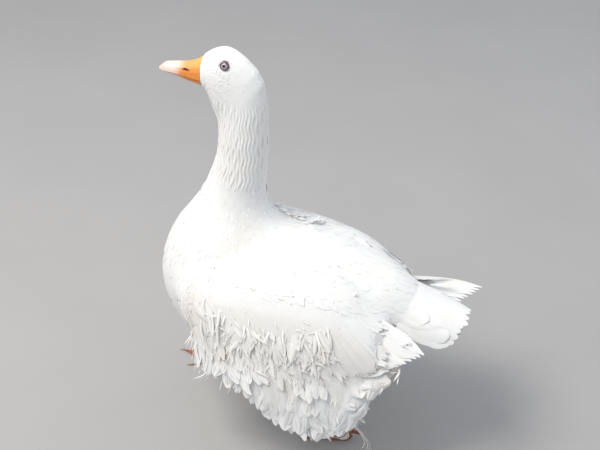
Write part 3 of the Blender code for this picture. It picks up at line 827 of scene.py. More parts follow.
def laid(surface, roots, lie, length, form, depth, rise, swerve):
    """Lines of feathers that follow the surface from their roots, but bend no more than a feather can."""
    stations = form.stations
    place, normal, _ = surface.nearest(roots)
    along = flat_on(lie, normal)
    facing = normal
    line = []
    normals = []
    for k, share in enumerate(stations):
        if k:
            step = (share - stations[k - 1]) * length
            ahead = place + along * step[:, None]
            _, normal, height = surface.nearest(ahead)
            moved = ahead - normal * np.minimum(height, BEND * step)[:, None]
            along = unit(moved - place)
            place = moved
            facing = flat_on(facing * 0.4 + normal * 0.6, along)
            along = turned(along, facing, swerve * (share - stations[k - 1]))
        over = depth * (SUNK + (1 - SUNK) * share**0.8) + rise * length * share**3
        line.append(place + facing * over[:, None])
        normals.append(facing)
    return np.stack(line, 1), np.stack(normals, 1)


def split_into_strips(coat, line, normals, width, length, rng, fray):
    """A long feather's outer part as strips side by side, which part towards its tip."""
    _, normals, sides = frames_of(line, normals)
    number = len(line)
    roots = line[:, 0]
    spread = 0.30 + 0.70 * np.minimum(LONG / 0.45, 1.0)
    for j in range(EDGE_STRIPS):
        across = (j + 0.5) / EDGE_STRIPS * 2 - 1
        short = 1 - 0.10 * across**2 - fray * rng.random(number)
        shares = EDGE_FROM + (1.05 - EDGE_FROM) * LONG[None] * short[:, None]
        bent = resampled(line, shares)
        bent_sides = resampled(sides, shares)
        bent_normals = unit(resampled(normals, shares))
        off = across * width[:, None] / 2 * (spread[None] + EDGE_SPLAY * shares**2)
        off = off + (rng.normal(0, 0.05, number) * width)[:, None] * shares**3
        heave = rng.normal(0, 1, number) * (0.03 + 0.5 * EDGE_CURL)
        heave = heave[:, None] * width[:, None] * shares**2
        heave = heave + EDGE_CURL * length[:, None] * 0.25 * rng.random((number, 1)) * shares**4
        heave = heave - 0.10 * width[:, None] * across**2
        strip = bent + bent_sides * off[..., None] + bent_normals * heave[..., None]
        tilt = bent_normals + bent_sides * (across * 0.25 + rng.normal(0, 0.08, number)[:, None])[..., None]
        wide = width * (2.1 / EDGE_STRIPS) * rng.uniform(0.85, 1.15, number)
        coat.add(STRIP, strip, unit(tilt), wide, length * (1 - EDGE_FROM), rng, roots)


def locks(coat, line, normals, width, length, strips, rng):
    """Long plumes as silky locks: narrow strips that part to the lock's width and meet at its tip."""
    _, normals, sides = frames_of(line, normals)
    number = len(line)
    spread = np.interp(LONG, (0, 0.4, 0.8, 1.0), (0.45, 1.0, 0.75, 0.30))
    for j in range(strips):
        across = (j + 0.5) / strips * 2 - 1
        shares = LONG[None] * rng.uniform(0.82, 1.02, number)[:, None]
        bent_sides = resampled(sides, shares)
        bent_normals = unit(resampled(normals, shares))
        wave = rng.normal(0, 0.10, (number, 1)) * np.sin(shares * rng.uniform(3, 8, (number, 1)))
        off = (across * spread[None] + wave) * width[:, None] / 2
        crown = 0.14 * (1 - across**2) + rng.uniform(0.02, 0.07, (number, 1))
        crown = crown * width[:, None] * spread[None]
        strip = resampled(line, shares) + bent_sides * off[..., None] + bent_normals * crown[..., None]
        tilt = unit(bent_normals + bent_sides * across * 0.4)
        wide = width * (2.3 / strips) * rng.uniform(0.8, 1.2, number)
        coat.add(STRIP, strip, tilt, wide, length, rng, line[:, 0])


def resampled(values, shares):
    """Values known at the stations of long feathers, read at other shares of the way."""
    spots = np.clip(np.searchsorted(LONG, shares, side="right") - 1, 0, len(LONG) - 2)
    t = (shares - LONG[spots]) / (LONG[spots + 1] - LONG[spots])
    rows = np.arange(len(values))[:, None]
    return values[rows, spots] * (1 - t[..., None]) + values[rows, spots + 1] * t[..., None]


# ------------------------------------------------------------------------------------ materials


def sum_of(operation, value_last=False):
    """An operator of Value that adds one maths node."""

    def operator(self, other):
        first, second = (other, self) if value_last else (self, other)
        return self.nodes.add("ShaderNodeMath", {"operation": operation}, {0: first, 1: second})

    return operator


class Value:
    """A number or colour in a material's nodes; sums on it add nodes."""

    def __init__(self, nodes, socket):
        self.nodes = nodes
        self.socket = socket

    __add__ = sum_of("ADD")
    __radd__ = sum_of("ADD", True)
    __sub__ = sum_of("SUBTRACT")
    __rsub__ = sum_of("SUBTRACT", True)
    __mul__ = sum_of("MULTIPLY")
    __rmul__ = sum_of("MULTIPLY", True)

    def size(self):
        """The number without its sign."""
        return self.nodes.add("ShaderNodeMath", {"operation": "ABSOLUTE"}, {0: self})

    def between(self, start, end):
        """0 below start, 1 above end, smooth between."""
        settings = {"interpolation_type": "SMOOTHSTEP"}
        return self.nodes.add("ShaderNodeMapRange", settings, {"Value": self, 1: start, 2: end})


class Finish:
    """A material and the nodes that give it its colour, gloss and grain."""

    def __init__(self, name, **constants):
        self.material = bpy.data.materials.new(name)
        self.material.use_nodes = True
        self.tree = self.material.node_tree
        self.shader = self.tree.nodes["Principled BSDF"]
        for socket, value in constants.items():
            self.shader.inputs[socket.replace("_", " ")].default_value = value

    def add(self, kind, settings, values, output=0):
        """Adds a node and gives one of its outputs."""
        node = self.tree.nodes.new(kind)
        for key, value in settings.items():
            setattr(node, key, value)
        for key, value in values.items():
            self.put(node.inputs[key], value)
        return Value(self, node.outputs[output])

    def put(self, socket, value):
        """Links a value to a socket, or sets a plain number or colour in it."""
        if isinstance(value, Value):
            self.tree.links.new(value.socket, socket)
        elif isinstance(value, tuple) and len(value) == 3 and len(socket.default_value) == 4:
            socket.default_value = (*value, 1.0)
        else:
            socket.default_value = value

    def feed(self, socket, value):
        """Feeds a value to the shader."""
        self.put(self.shader.inputs[socket], value)

    def place(self):
        """The place on the surface."""
        return self.add("ShaderNodeNewGeometry", {}, {}, "Position")

    def part_of(self, vector, axis):
        """One of the three numbers of a vector."""
        return self.add("ShaderNodeSeparateXYZ", {}, {0: vector}, axis)

    def stretch(self, vector, scale):
        """A vector with each of its numbers scaled."""
        return self.add("ShaderNodeVectorMath", {"operation": "MULTIPLY"}, {0: vector, 1: scale})

    def noise(self, scale, detail=3.0, vector=None):
        """A cloudy grain, over the surface or over a vector."""
        values = {"Vector": vector or self.place(), "Scale": scale, "Detail": detail}
        return self.add("ShaderNodeTexNoise", {}, values, "Fac")

    def cells(self, scale, feature="F1"):
        """A pattern of cells, as on scaly skin."""
        values = {"Vector": self.place(), "Scale": scale}
        return self.add("ShaderNodeTexVoronoi", {"feature": feature}, values, "Distance")

    def blend(self, share, first, second):
        """A colour between two others."""
        settings = {"data_type": "RGBA"}
        return self.add("ShaderNodeMix", settings, {0: share, 6: first, 7: second}, 2)

    def bump(self, height, strength, distance):
        """Gives the surface its fine relief."""
        values = {"Height": height, "Strength": strength, "Distance": distance}
        self.feed("Normal", self.add("ShaderNodeBump", {}, values))

    def far_from(self, centre, size=(1.0, 1.0, 1.0)):
        """Distance from a place, with each axis measured against a size."""
        ends = {0: self.place(), 1: tuple(centre)}
        offset = self.add("ShaderNodeVectorMath", {"operation": "SUBTRACT"}, ends)
        scaled = self.stretch(offset, tuple(1.0 / s for s in size))
        return self.add("ShaderNodeVectorMath", {"operation": "LENGTH"}, {0: scaled}, "Value")


def plumage_finish(name, colours):
    """White feathers with a faint cream cast that varies at random, painted shade at the roots of feathers
    low on the body, and painted warm cream shading over the ruffled plumes of the wings.
    """
    finish = Finish(name, Specular_IOR_Level=0.3, Sheen_Weight=0.12, Sheen_Roughness=0.5)
    broad = finish.noise(14.0, 4.0)
    fine = finish.noise(160.0, 3.0)
    vane = finish.add("ShaderNodeAttribute", {"attribute_name": "vane"}, {}, "Vector")
    across = finish.part_of(vane, 0).size()
    along = finish.part_of(vane, 1)
    tone = finish.part_of(vane, 2)
    up = finish.part_of(finish.place(), 2)
    # Painted shade: feathers low on the body are tinted cream-grey near their roots, where shade gathers
    # between them.
    low = 1.0 - (up + broad * 0.08).between(0.24, 0.38)
    root = (1.0 - along.between(0.0, 0.035)) * low
    out = finish.part_of(finish.place(), 0).size()
    # Painted warm shading: a band low on the far sides, over the ruffled plumes of the wings, is tinted
    # cream.
    ruffled = (up + broad * 0.05).between(0.20, 0.26) * (1.0 - up.between(0.29, 0.33))
    ruffled = ruffled * out.between(0.105, 0.125)
    # Random cream tone, with the painted root shade and the painted warm shading added in.
    cream_and_shade = broad.between(0.50, 0.72) * 0.35 + tone * 0.20 + fine * 0.12 + root * 0.30 + ruffled * 0.32
    finish.feed("Base Color", finish.blend(cream_and_shade, tuple(colours.plumage), tuple(colours.plumage_cream_and_shade)))
    finish.feed("Roughness", fine * 0.16 + 0.54)
    barb = finish.add("ShaderNodeCombineXYZ", {}, {0: (along - across * 1.3) * 1500.0, 1: tone * 40.0})
    barbs = finish.noise(1.0, 2.0, barb)
    shaft = 1.0 - across.between(0.0, 0.0009)
    finish.bump(barbs * 0.5 + shaft * 0.5 + finish.noise(900.0) * 0.2, 0.30, 0.0005)
    return finish.material


def shared_plumage():
    """The one plumage finish that skin and feathers carry."""
    name = "white plumage"
    return bpy.data.materials.get(name) or plumage_finish(name, bpy.context.scene.goose_colours)


# --------------------------------------------------------------------------------------- pieces


def thickness(points, normals, triangles):
    """How thick a form is under each of its points, up to a limit."""
    tree = tree_of(points, triangles)
    limit = 0.03
    found = []
    for place, inward in zip((points - normals * 0.0004).tolist(), (-normals).tolist()):
        hit = tree.ray_cast(place, inward, limit)
        found.append(limit if hit[0] is None else hit[3])
    return np.array(found)


def crease_at(points):
    """How far points lie in the furrow between wings and back, or at the front edge of a wing."""
    ahead = ahead_of(points)
    out = np.abs(points[:, 0])
    up = points[:, 2]
    furrow = ease(-ahead, 0.000, 0.030) * ease(ahead, -0.275, -0.245) * ease(up, 0.255, 0.285)
    front = ease(ahead, 0.050, 0.070) * ease(out, 0.055, 0.070) * ease(0.345 - up, 0.0, 0.02)
    return np.maximum(furrow * ease(out, 0.012, 0.024), front)


def build_skin(sizes):
    """The skin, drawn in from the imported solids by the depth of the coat."""
    piece = remeshed("skin", FEATHERED + UNDER_HORN, sizes.skin_step)
    mesh = piece.data
    points = points_of(mesh)
    soft = 0.25 + 0.75 * ease(0.60 - points[:, 2], 0.0, 0.05)
    points = smoothed(points, edges_of(mesh), 60, soft)
    filled = 0.6 * crease_at(points)[:, None]
    for _ in range(60):
        points = points + (averaged(points, edges_of(mesh)) - points) * filled
    normals = point_normals(points, triangles_of(mesh))
    depth = coat_at(points)[1][:, 2]
    depth = np.minimum(depth, 0.36 * thickness(points, normals, triangles_of(mesh)))
    ahead = ahead_of(points)
    face = points[:, 2] > FACE_ABOVE_UP
    bare = ease(ahead, 0.071, 0.076) * face
    in_bill = 0.0012 + 0.0045 * ease(ahead, 0.086, 0.095)
    depth = depth * (1 - bare) + in_bill * ease(ahead, 0.0785, 0.0815) * face
    depth = np.where(near_eye(points, EYE_ROOM - 0.0004), 0.0020, depth)
    points = smoothed(points - normals * depth[:, None], edges_of(mesh), 4)
    give(mesh.vertices, "co", points)
    mesh.update()
    corners = numbers_of(mesh.loops, "vertex_index", 1)[:, 0]
    give(mesh.uv_layers.new(name="OFBake").uv, "vector", unwrap(points)[corners])
    return finished(piece, shared_plumage(), "white_plumage", *FEATHERED)


def near_eye(places, reach):
    """Whether places are within reach of the middle of an eye."""
    eyes = [spot(EYE_PLACE, sign) for sign in SIDES.values()]
    return np.min([np.linalg.norm(places - eye, axis=-1) for eye in eyes], axis=0) < reach


def bill_margin(up):
    """How far ahead the feathers stop at the side of the bill, at a height."""
    below = ((up - 0.6185) / 0.0135).clip(0, 1)
    above = ((0.650 - up) / 0.011).clip(0, 1)
    return 0.0785 - 0.0045 * below * above**0.7


def on_bill(places):
    """Whether places are on the bill, where no feather grows."""
    return (ahead_of(places) > bill_margin(places[..., 2])) & (places[..., 2] > FACE_ABOVE_UP)


def on_head(places):
    """Whether places are on the head or the top of the neck."""
    return places[:, 2] > HEAD_FROM_UP


def on_neck(places):
    """Whether places are on the furrowed neck."""
    return (places[:, 2] <= HEAD_FROM_UP) & (places[:, 2] > BODY_BELOW_UP)


def on_cheek(places):
    """Whether places are on a cheek, where small tufts stand out."""
    up = places[:, 2]
    return (ahead_of(places) > 0.040) & (up > 0.606) & (up < 0.652) & (np.abs(places[:, 0]) > 0.009)


def on_body(part, sign):
    """A test of whether places are on the breast or the rear, on one side."""
    forward = 1 if part == "breast" else -1

    def chosen(places):
        beyond = (ahead_of(places) - REAR_FROM_AHEAD) * forward > 0
        return (places[:, 2] <= BODY_BELOW_UP) & (places[:, 0] * sign > 0) & beyond

    return chosen


def under_long(places):
    """How far places lie under the long feathers of wings, flanks and tail, which press the coat flat."""
    out = np.abs(places[:, 0])
    ahead = ahead_of(places)
    side = ease(out, 0.085, 0.105) * ease(0.075 - ahead, 0.0, 0.02) * ease(0.345 - places[:, 2], 0.0, 0.02)
    return np.maximum(side, ease(-ahead, 0.280, 0.300))


def past_ends(places):
    """Whether places are on the blunt ends of tail, wings and flanks, which the long feathers cover alone."""
    out = np.abs(places[:, 0])
    ahead = ahead_of(places)
    wing_end = (ahead < -0.232) & (out > 0.058) & (places[:, 2] < 0.315)
    return wing_end | (ahead < -0.318)


def round_eyes(places, lies, normals):
    """The lie of the coat turned to flow round the eyes."""
    for sign in SIDES.values():
        offset = places - spot(EYE_PLACE, sign)
        share = (1 - ease(np.linalg.norm(offset, axis=1), 0.012, 0.018))[:, None]
        offset = flat_on(offset, normals)
        toward = (lies * offset).sum(1, keepdims=True)
        lies = unit(lies - offset * np.minimum(toward, 0) * share * 1.1)
    return lies


def small_feathers(surface, name, chosen, packing, form, rng, long=1.0, wide=1.15, lift=0.0):
    """The small feathers that cover a part of the body.

    The packing is how far apart they grow, against their size. Their lengths and widths are those of the
    coat there, times long and wide, and their tips lift by a share of their length.
    """
    roots = surface.scatter(chosen, packing * math.sqrt(long * wide), rng)
    roots = roots[~near_eye(roots, EYE_ROOM) & ~on_bill(roots) & ~past_ends(roots)]
    lies, sizes = coat_at(roots)
    number = len(roots)
    normals = surface.nearest(roots)[1]
    lies = turned(flat_on(lies, normals), normals, rng.normal(0, 0.13, number))
    lies = round_eyes(roots, lies, normals)
    length = sizes[:, 0] * rng.uniform(0.82, 1.2, number) * long
    width = sizes[:, 1] * rng.uniform(0.85, 1.15, number) * wide
    depth = sizes[:, 2] * rng.uniform(0.9, 1.1, number) * (1 - 0.7 * under_long(roots))
    swerve = rng.normal(0, 0.25, number)
    line, facing = laid(surface, roots, lies, length, form, depth, lift, swerve)
    steady = (facing[:, 0] * facing[:, -1]).sum(1) > STEADY
    coat = Coat()
    coat.add(form, line[steady], facing[steady], width[steady], length[steady], rng, fray=0.06)
    return coat.piece(name)


def neck_ridges(surface, sizes, rng):
    """The furrowed neck: chains of narrow feathers that weave past each other down the neck."""
    path = np.array(sorted(RIDGE_PATH))
    ups = np.arange(NECK_TOP, NECK_FOOT - RIDGE_FEATHER * 1.2, -RIDGE_STEP)
    middle = np.stack([np.zeros_like(ups), SHOULDERS_Y - np.interp(ups, path[:, 0], path[:, 1]), ups], 1)
    deep = np.interp(ups, path[:, 0], path[:, 2])
    stations = RIDGE.stations
    lines = []
    facings = []
    widths = []
    for i in range(sizes.neck_ridges):
        angle = (i + 0.5) / sizes.neck_ridges * 2 * math.pi
        wave = 2 * math.pi / RIDGE_WAVE * (1 + 0.1 * math.sin(3.1 * i))
        weave = RIDGE_WEAVE / sizes.neck_ridges * np.sin(ups * wave + math.pi * i + rng.normal(0, 0.35))
        turn = angle + weave
        outward = np.stack([np.sin(turn), -np.cos(turn), np.zeros_like(turn)], 1)
        found = []
        for centre, out in zip(middle.tolist(), outward.tolist()):
            place = surface.tree.ray_cast(Vector(centre) + Vector(out) * 0.25, -Vector(out), 0.3)[0]
            found.append(centre if place is None else tuple(place))
        found = np.array(found)
        normals = surface.nearest(found)[1]
        for _ in range(2):
            found[1:-1] = (found[:-2] + 2 * found[1:-1] + found[2:]) / 4
            normals[1:-1] = unit(normals[:-2] + 2 * normals[1:-1] + normals[2:])
        radius = np.linalg.norm(found - middle, axis=1)
        size = coat_at(found)[1]
        over = size[:, 2] * (0.30 + 0.70 * deep)
        span = int(RIDGE_FEATHER / RIDGE_STEP)
        for start in range(0, len(ups) - span, 2):
            reach = span * rng.uniform(0.75, 1.0)
            spots = np.clip(start + stations * reach, 0, len(ups) - 1.001)
            first = spots.astype(int)
            share = (spots - first)[:, None]
            lift = 0.0004 * stations + rng.uniform(0, 0.0003)
            behind = found[start, 1] - middle[start, 1]
            loose = ease(0.475 - ups[start], 0.0, 0.03) * ease(behind, 0.018, 0.030)
            lift = lift + loose * rng.random() * 0.0035 * stations**2
            place = found[first] * (1 - share) + found[first + 1] * share
            facing = unit(normals[first] * (1 - share) + normals[first + 1] * share)
            height = over[first] + lift
            lines.append(place + facing * height[:, None])
            facings.append(facing)
            widths.append(radius[start] * 2 * math.pi / sizes.neck_ridges * rng.uniform(1.0, 1.2))
    line, facing, width = (np.array(values)[::-1] for values in (lines, facings, widths))
    coat = Coat()
    coat.add(RIDGE, line, facing, width, np.full(len(line), RIDGE_FEATHER), rng)
    return coat.piece("neck_feathers")


def scattered_rows(rows, columns, lowest, rng):
    """Places in rows on a sheet, the lowest row first, as shares across and down."""
    across = []
    down = []
    for row in reversed(range(rows)):
        level = lowest * row / (rows - 1)
        shares = (np.arange(columns) + 0.5 * (row % 2) + rng.uniform(-0.3, 0.3, columns)) / columns
        across.append(shares)
        down.append(level + rng.uniform(-0.3, 0.3, columns) * lowest / rows)
    return np.concatenate(across), np.concatenate(down)


def back_tufts(surface, rng):
    """Loose tufts on the right of the back behind the neck, one of them standing up."""
    number = BACK_TUFTS
    ahead = rng.uniform(*TUFTS_AHEAD, number)
    ahead[0] = TUFTS_AHEAD[0] + 0.012
    out = TUFTS_OUT + (TUFTS_AHEAD[1] - ahead) * 0.25 + rng.normal(0, 0.006, number)
    above = np.stack([spot((place, side, 0.40), -1) for place, side in zip(ahead, out)])
    roots, normals, _ = surface.nearest(above)
    length = rng.uniform(*TUFT_LENGTHS, number)
    steep = rng.uniform(0.30, 0.80, (number, 1))
    length[0] = STANDING_TUFT
    steep[0] = 2.2
    lean = np.stack([np.zeros(number), rng.normal(0, 0.3, number), np.zeros(number)], 1)
    lies = unit(way((-1.0, 0.0, 0.0)) + lean[:, [1, 0, 2]] + normals * steep)
    shares = LONG[None, :, None]
    reach = length[:, None, None]
    line = roots[:, None] + normals[:, None] * 0.0015 + lies[:, None] * reach * shares
    line -= normals[:, None] * reach * shares**2 * rng.uniform(0.05, 0.40, (number, 1, 1))
    facing = way((0.2, 0.12, 1.0)) + 0 * line
    coat = Coat()
    for strand in (-1, 0, 1):
        splay = way((0.0, 0.0022 * strand, -0.0004 * abs(strand))) * shares
        coat.add(STRIP, line + splay, facing, np.full(number, TUFT_WIDTH), length, rng)
    return coat.piece("back_tufts")


def face_sheet(surface, face, facing, sign, past, tip=None):
    """The sheet over a wing or flank given as rows from its front to its rear."""
    tops = []
    feet = []
    for ahead, top, foot in face:
        if tip is not None and ahead < WING_TIP_FROM:
            share = (ahead - WING_TIP_FROM) / (WING_TIPS["left"] - WING_TIP_FROM)
            ahead = WING_TIP_FROM + share * (tip - WING_TIP_FROM)
        tops.append(spot((ahead, *top), sign))
        feet.append(spot((ahead, *foot), sign))
    return Sheet(surface, tops, feet, way(facing, sign), past)


def long_feathers(surface, side, rng):
    """The rows of long feathers on one folded wing, and the flight feathers of its tip."""
    coat = Coat()
    sheet = face_sheet(surface, WING_FACE, WING_FACING, SIDES[side], 0.08, WING_TIPS[side])
    places = [-row[0] for row in WING_FACE]
    for roots, tips, (count, width, rise, fray, curl) in WING_ROWS.values():
        shares = np.linspace(0, 1, count)[:, None]
        lines = []
        for first, last in (roots, tips):
            place = np.array(first) * (1 - shares) + np.array(last) * shares
            place[:, 0] = np.interp(-place[:, 0], places, np.linspace(0, 1, len(places)))
            lines.append(place + rng.normal(0, 0.008, place.shape))
        bow = rng.normal(0.0, 0.012, count)
        rises = rise * (0.8 + 0.4 * shares[:, 0])
        line, normals = sheet.between(*lines, rises, bow, curl * rng.random(count) * 0.1)
        widths = np.full(count, width) * rng.uniform(0.9, 1.15, count)
        long_feather(coat, line, normals, widths, lengths_of(line), rng, fray)
    wing_tip(coat, side, rng)
    piece = coat.piece(f"wing_feathers_{side}")
    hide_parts(f"wing_tip_{side}")
    return piece


def wing_tip(coat, side, rng):
    """The flight feathers of a folded wing, fanned past the rump with their upper faces turning upwards."""
    sign = SIDES[side]
    order = np.linspace(0, 1, PRIMARIES)[:, None]
    low, high = np.array(PRIMARY_ROOTS)
    roots = low * (1 - order) + high * order
    low, high = np.array(PRIMARY_TIPS[side])
    tips = low * (1 - order) + high * order
    tips[:, 0] += WING_TIPS[side]
    shares = LONG[None, :, None]
    line = roots[:, None] * (1 - shares) + tips[:, None] * shares
    line[..., 2] += 0.008 * shares[..., 0] * (shares[..., 0] - 0.55) + 0.0012 * order
    line[..., 1] += 0.010 * np.sin(math.pi * shares[..., 0]) * (1 - order)
    line += rng.normal(0, 0.0006, (PRIMARIES, 1, 3))
    turned_up = TIP_TURN[side] * shares * np.ones_like(line[..., :1])
    facing = np.array(TIP_OUTWARD) * (1 - turned_up) + np.array(TIP_UPWARD) * turned_up
    line = np.stack(way(np.moveaxis(line, -1, 0), sign), -1) + spot((0.0, 0.0, 0.0), sign)
    facing = np.stack(way(np.moveaxis(facing, -1, 0), sign), -1)
    width = np.full(PRIMARIES, PRIMARY_WIDTH)
    coat.add(VANE, line, unit(facing), width, lengths_of(line), rng, fray=0.03)


def long_feather(coat, line, normals, width, length, rng, fray):
    """A vane, one edge tucked under the next, with loose strips along its outer part if it is frayed."""
    normals = unit(normals + way((1.0, 0.0, -1.0)) * VANE_TILT)
    coat.add(VANE if fray else ROUND, line, normals, width, length, rng, fray=0.03)
    if fray:
        split_into_strips(coat, line, normals, width * 0.96, length, rng, fray)


def tail_feathers(surface, rng):
    """The tail: overlapping rounded feathers fanned from the rump, with their coverts."""
    tops, feet = ([spot(place) for place in row] for row in (TAIL_TOP, TAIL_END))
    sheet = Sheet(surface, tops, feet, UP, past=0.05, hold=0.7)
    coat = Coat()
    shares = np.linspace(0, 1, TAIL_FEATHERS)
    order = np.argsort(-np.abs(shares - 0.5))
    level = np.arange(TAIL_FEATHERS)
    roots = np.stack([0.5 + (shares[order] - 0.5) * 0.85, np.full(TAIL_FEATHERS, 0.22)], 1)
    tips = np.stack([shares[order], 1.0 - 0.10 * np.abs(2 * shares[order] - 1) ** 3], 1)
    tips += rng.normal(0, 0.012, tips.shape)
    none = np.zeros(TAIL_FEATHERS)
    line, normals = sheet.between(roots, tips, 0.0012 + 0.0005 * level, none, none)
    width = np.full(TAIL_FEATHERS, TAIL_FEATHER_WIDTH)
    long_feather(coat, line, normals, width, lengths_of(line), rng, fray=0.0)
    across, down = scattered_rows(*TAIL_COVERTS, 0.20, rng)
    down += 0.30
    number = len(across)
    length = rng.uniform(0.036, 0.048, number)
    lean = (across - 0.5) * -0.3
    swerve = rng.normal(0, 0.3, number)
    curl = rng.normal(0.02, 0.03, number)
    line, normals = sheet.hanging(across, down, length, lean, swerve, curl, np.full(number, 0.0035))
    coat.add(ROUND, line, normals, rng.uniform(0.024, 0.032, number), length, rng, fray=0.03)
    return coat.piece("tail_feathers")


def hung(sheet, kind, across, down, length, rng):
    """Lines of loose plumes down a sheet, each with its own lean, swerve, curl and wave."""
    lean, swerve, curl, rise, wave = HANG[kind]
    number = len(length)
    return sheet.hanging(
        across,
        down,
        length,
        lean=rng.normal(*lean, number),
        swerve=rng.normal(*swerve, number),
        curl=np.abs(rng.normal(*curl, number)),
        rise=rng.uniform(*rise, number) if rise[0] < rise[1] else np.full(number, rise[0]),
        wave=rng.normal(*wave, number) if wave[1] else 0.0,
    )


def flank_plumes(surface, side, sizes, rng):
    """The long soft plumes of one flank, hanging in rows to the hem, with wisps worked loose over them."""
    sheet = face_sheet(surface, FLANK_FACE, FLANK_FACING, SIDES[side], 0.25)
    coat = Coat()
    across, down = scattered_rows(FLANK_ROWS, FLANK_COLUMNS, 0.66, rng)
    across = 0.06 + 0.84 * across
    number = len(across)
    fall = sheet.read(sheet.tall, across, down) * (1.04 - down)
    length = np.clip(fall * rng.uniform(0.85, 1.05, number), *PLUME_LENGTHS) * sizes.plume_length
    line, normals = hung(sheet, "flank", across, down, length, rng)
    width = length * rng.uniform(0.22, 0.36, number)
    coat.add(ROUND, line, normals, width * 1.05, length, rng, fray=0.05)
    locks(coat, line, normals, width, length * 0.98, 7, rng)
    wisps(coat, sheet, WISPS, rng)
    return coat.piece(f"flank_plumes_{side}")


def wisps(coat, sheet, number, rng, across=(0.0, 1.0), down=(0.05, 0.75)):
    """Thin curved strips worked loose over the plumes."""
    places = rng.uniform(*across, number), rng.uniform(*down, number)
    length = rng.uniform(*WISP_LENGTHS, number)
    line, normals = hung(sheet, "wisp", *places, length, rng)
    coat.add(STRIP, line, normals, rng.uniform(*WISP_WIDTHS, number), length, rng)


def wing_curls(surface, side, rng):
    """The ruffled plumes that hang over the lower half of a folded wing, with slim curled ones over them."""
    sheet = face_sheet(surface, WING_FACE, WING_FACING, SIDES[side], 0.15, WING_TIPS[side])
    coat = Coat()
    across, down = scattered_rows(CURL_ROWS, CURL_COLUMNS, 0.50, rng)
    across = CURLS_ACROSS[0] + (CURLS_ACROSS[1] - CURLS_ACROSS[0]) * across
    down = 0.36 + down + 0.10 * np.sin(across * 30)
    number = len(across)
    length = rng.uniform(*CURL_LENGTHS, number)
    line, normals = hung(sheet, "wing", across, down, length, rng)
    width = rng.uniform(*CURL_WIDTHS, number)
    coat.add(ROUND, line, normals, width, length, rng, fray=0.05)
    locks(coat, line, normals, width, length * 0.98, 6, rng)
    number = SLIM_CURLS
    length = rng.uniform(*SLIM_CURL_LENGTHS, number)
    places = rng.uniform(*CURLS_ACROSS, number), rng.uniform(0.34, 0.82, number)
    line, normals = hung(sheet, "slim", *places, length, rng)
    locks(coat, line, normals, rng.uniform(*SLIM_CURL_WIDTHS, number), length, 3, rng)
    wisps(coat, sheet, WISPS, rng, CURLS_ACROSS, (0.36, 0.90))
    return coat.piece(f"wing_curls_{side}")


def refined(name, nodes, step, rounds, material, slot, shaped=None, joined=()):
    """A fine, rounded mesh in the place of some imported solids, drawn round the joined ones as well."""
    piece = remeshed(name, [*nodes, *joined], step)
    mesh = piece.data
    points = smoothed(points_of(mesh), edges_of(mesh), rounds)
    if shaped is not None:
        points = shaped(points, point_normals(points, triangles_of(mesh)))
    give(mesh.vertices, "co", points)
    mesh.update()
    return finished(piece, material, slot, *nodes)


def rounded_tip(points):
    """The bill's blunt end drawn in to a rounded one."""
    points = points.copy()
    end = BILL_REACH + 0.0006
    share = ((ahead_of(points) - BILL_ROUNDS_FROM) / (end - BILL_ROUNDS_FROM)).clip(0, 0.995)
    keep = np.sqrt(1 - share**2)
    points[:, 2] = BILL_TIP_UP + (points[:, 2] - BILL_TIP_UP) * keep
    points[:, 0] *= 0.35 + 0.65 * keep
    return points


def under_nail(points, normals):
    """The upper bill, carried on beneath the nail."""
    sunk = 0.0007 * ease(ahead_of(points), NAIL_FROM + 0.0005, NAIL_FROM + 0.0025)
    return rounded_tip(points - normals * sunk[:, None])


def nail_shield(points, normals):
    """The nail, a little proud of the bill it ends."""
    return rounded_tip(points + normals * 0.0002)


def bill_finish(name, colours, pale_from, pale, lip=0.0):
    """Orange horn, yellower above its root, fading to a pale pinkish front, with a pale lip if it has one."""
    finish = Finish(name, Specular_IOR_Level=0.45, Coat_Roughness=0.25)
    ahead = finish.part_of(finish.place(), 1) * -1.0 + float(SHOULDERS_Y)
    up = finish.part_of(finish.place(), 2)
    mottle = finish.noise(140.0, 4.0)
    fine = finish.noise(900.0, 3.0)
    above = (up + mottle * 0.006).between(0.624, 0.643)
    side = finish.blend(above, tuple(colours.bill), tuple(colours.bill_top))
    side = finish.blend(mottle.between(0.45, 0.75) * 0.35, side, tuple(0.75 * c for c in colours.bill))
    reach = ahead + mottle * 0.010 + (up - 0.62) * 0.35
    faded = reach.between(pale_from, pale_from + 0.018)
    colour = finish.blend(faded, side, tuple(pale))
    if lip:
        edge = (up - reach * 0.04).between(0.6090, 0.6105) * reach.between(0.10, 0.12)
        colour = finish.blend(edge * lip, colour, tuple(colours.bill_tip))
    # Painted shade: a dark red-brown patch round each nostril stands in for the shade inside its opening.
    for sign in SIDES.values():
        gone = finish.far_from(spot(NOSTRIL, sign), (0.006, 0.0080, 0.0026))
        colour = finish.blend(1.0 - gone.between(0.45, 1.15), colour, (0.24, 0.065, 0.04))
    finish.feed("Base Color", colour)
    finish.feed("Roughness", mottle * 0.20 + 0.32)
    finish.feed("Coat Weight", fine * 0.2)
    finish.bump(finish.noise(420.0, 5.0) * 0.7 + finish.cells(700.0) * 0.3, 0.35, 0.0004)
    return finish.material


def eye_finish(colours, sign):
    """A grey-blue iris round a black pupil, under a wet gloss."""
    finish = Finish(f"eye {sign}", Coat_Weight=1.0, Coat_Roughness=0.03)
    centre = spot(EYE_PLACE, sign) + unit(way(EYE_AXIS, sign)) * EYE_RADIUS
    from_axis = finish.far_from(centre) * 1000.0
    streak = finish.noise(1500.0, 3.0)
    iris = finish.blend(streak, tuple(colours.iris), tuple(min(1.0, 1.7 * c) for c in colours.iris))
    inner = from_axis.between(2.0, 2.9)
    iris = finish.blend(inner, tuple(0.55 * c for c in colours.iris), iris)
    colour = finish.blend(from_axis.between(1.95, 2.25), (0.004, 0.004, 0.005), iris)
    colour = finish.blend(from_axis.between(4.4, 5.0), colour, tuple(0.35 * c for c in colours.lid))
    finish.feed("Base Color", colour)
    finish.feed("Roughness", streak * 0.08 + 0.08)
    return finish.material


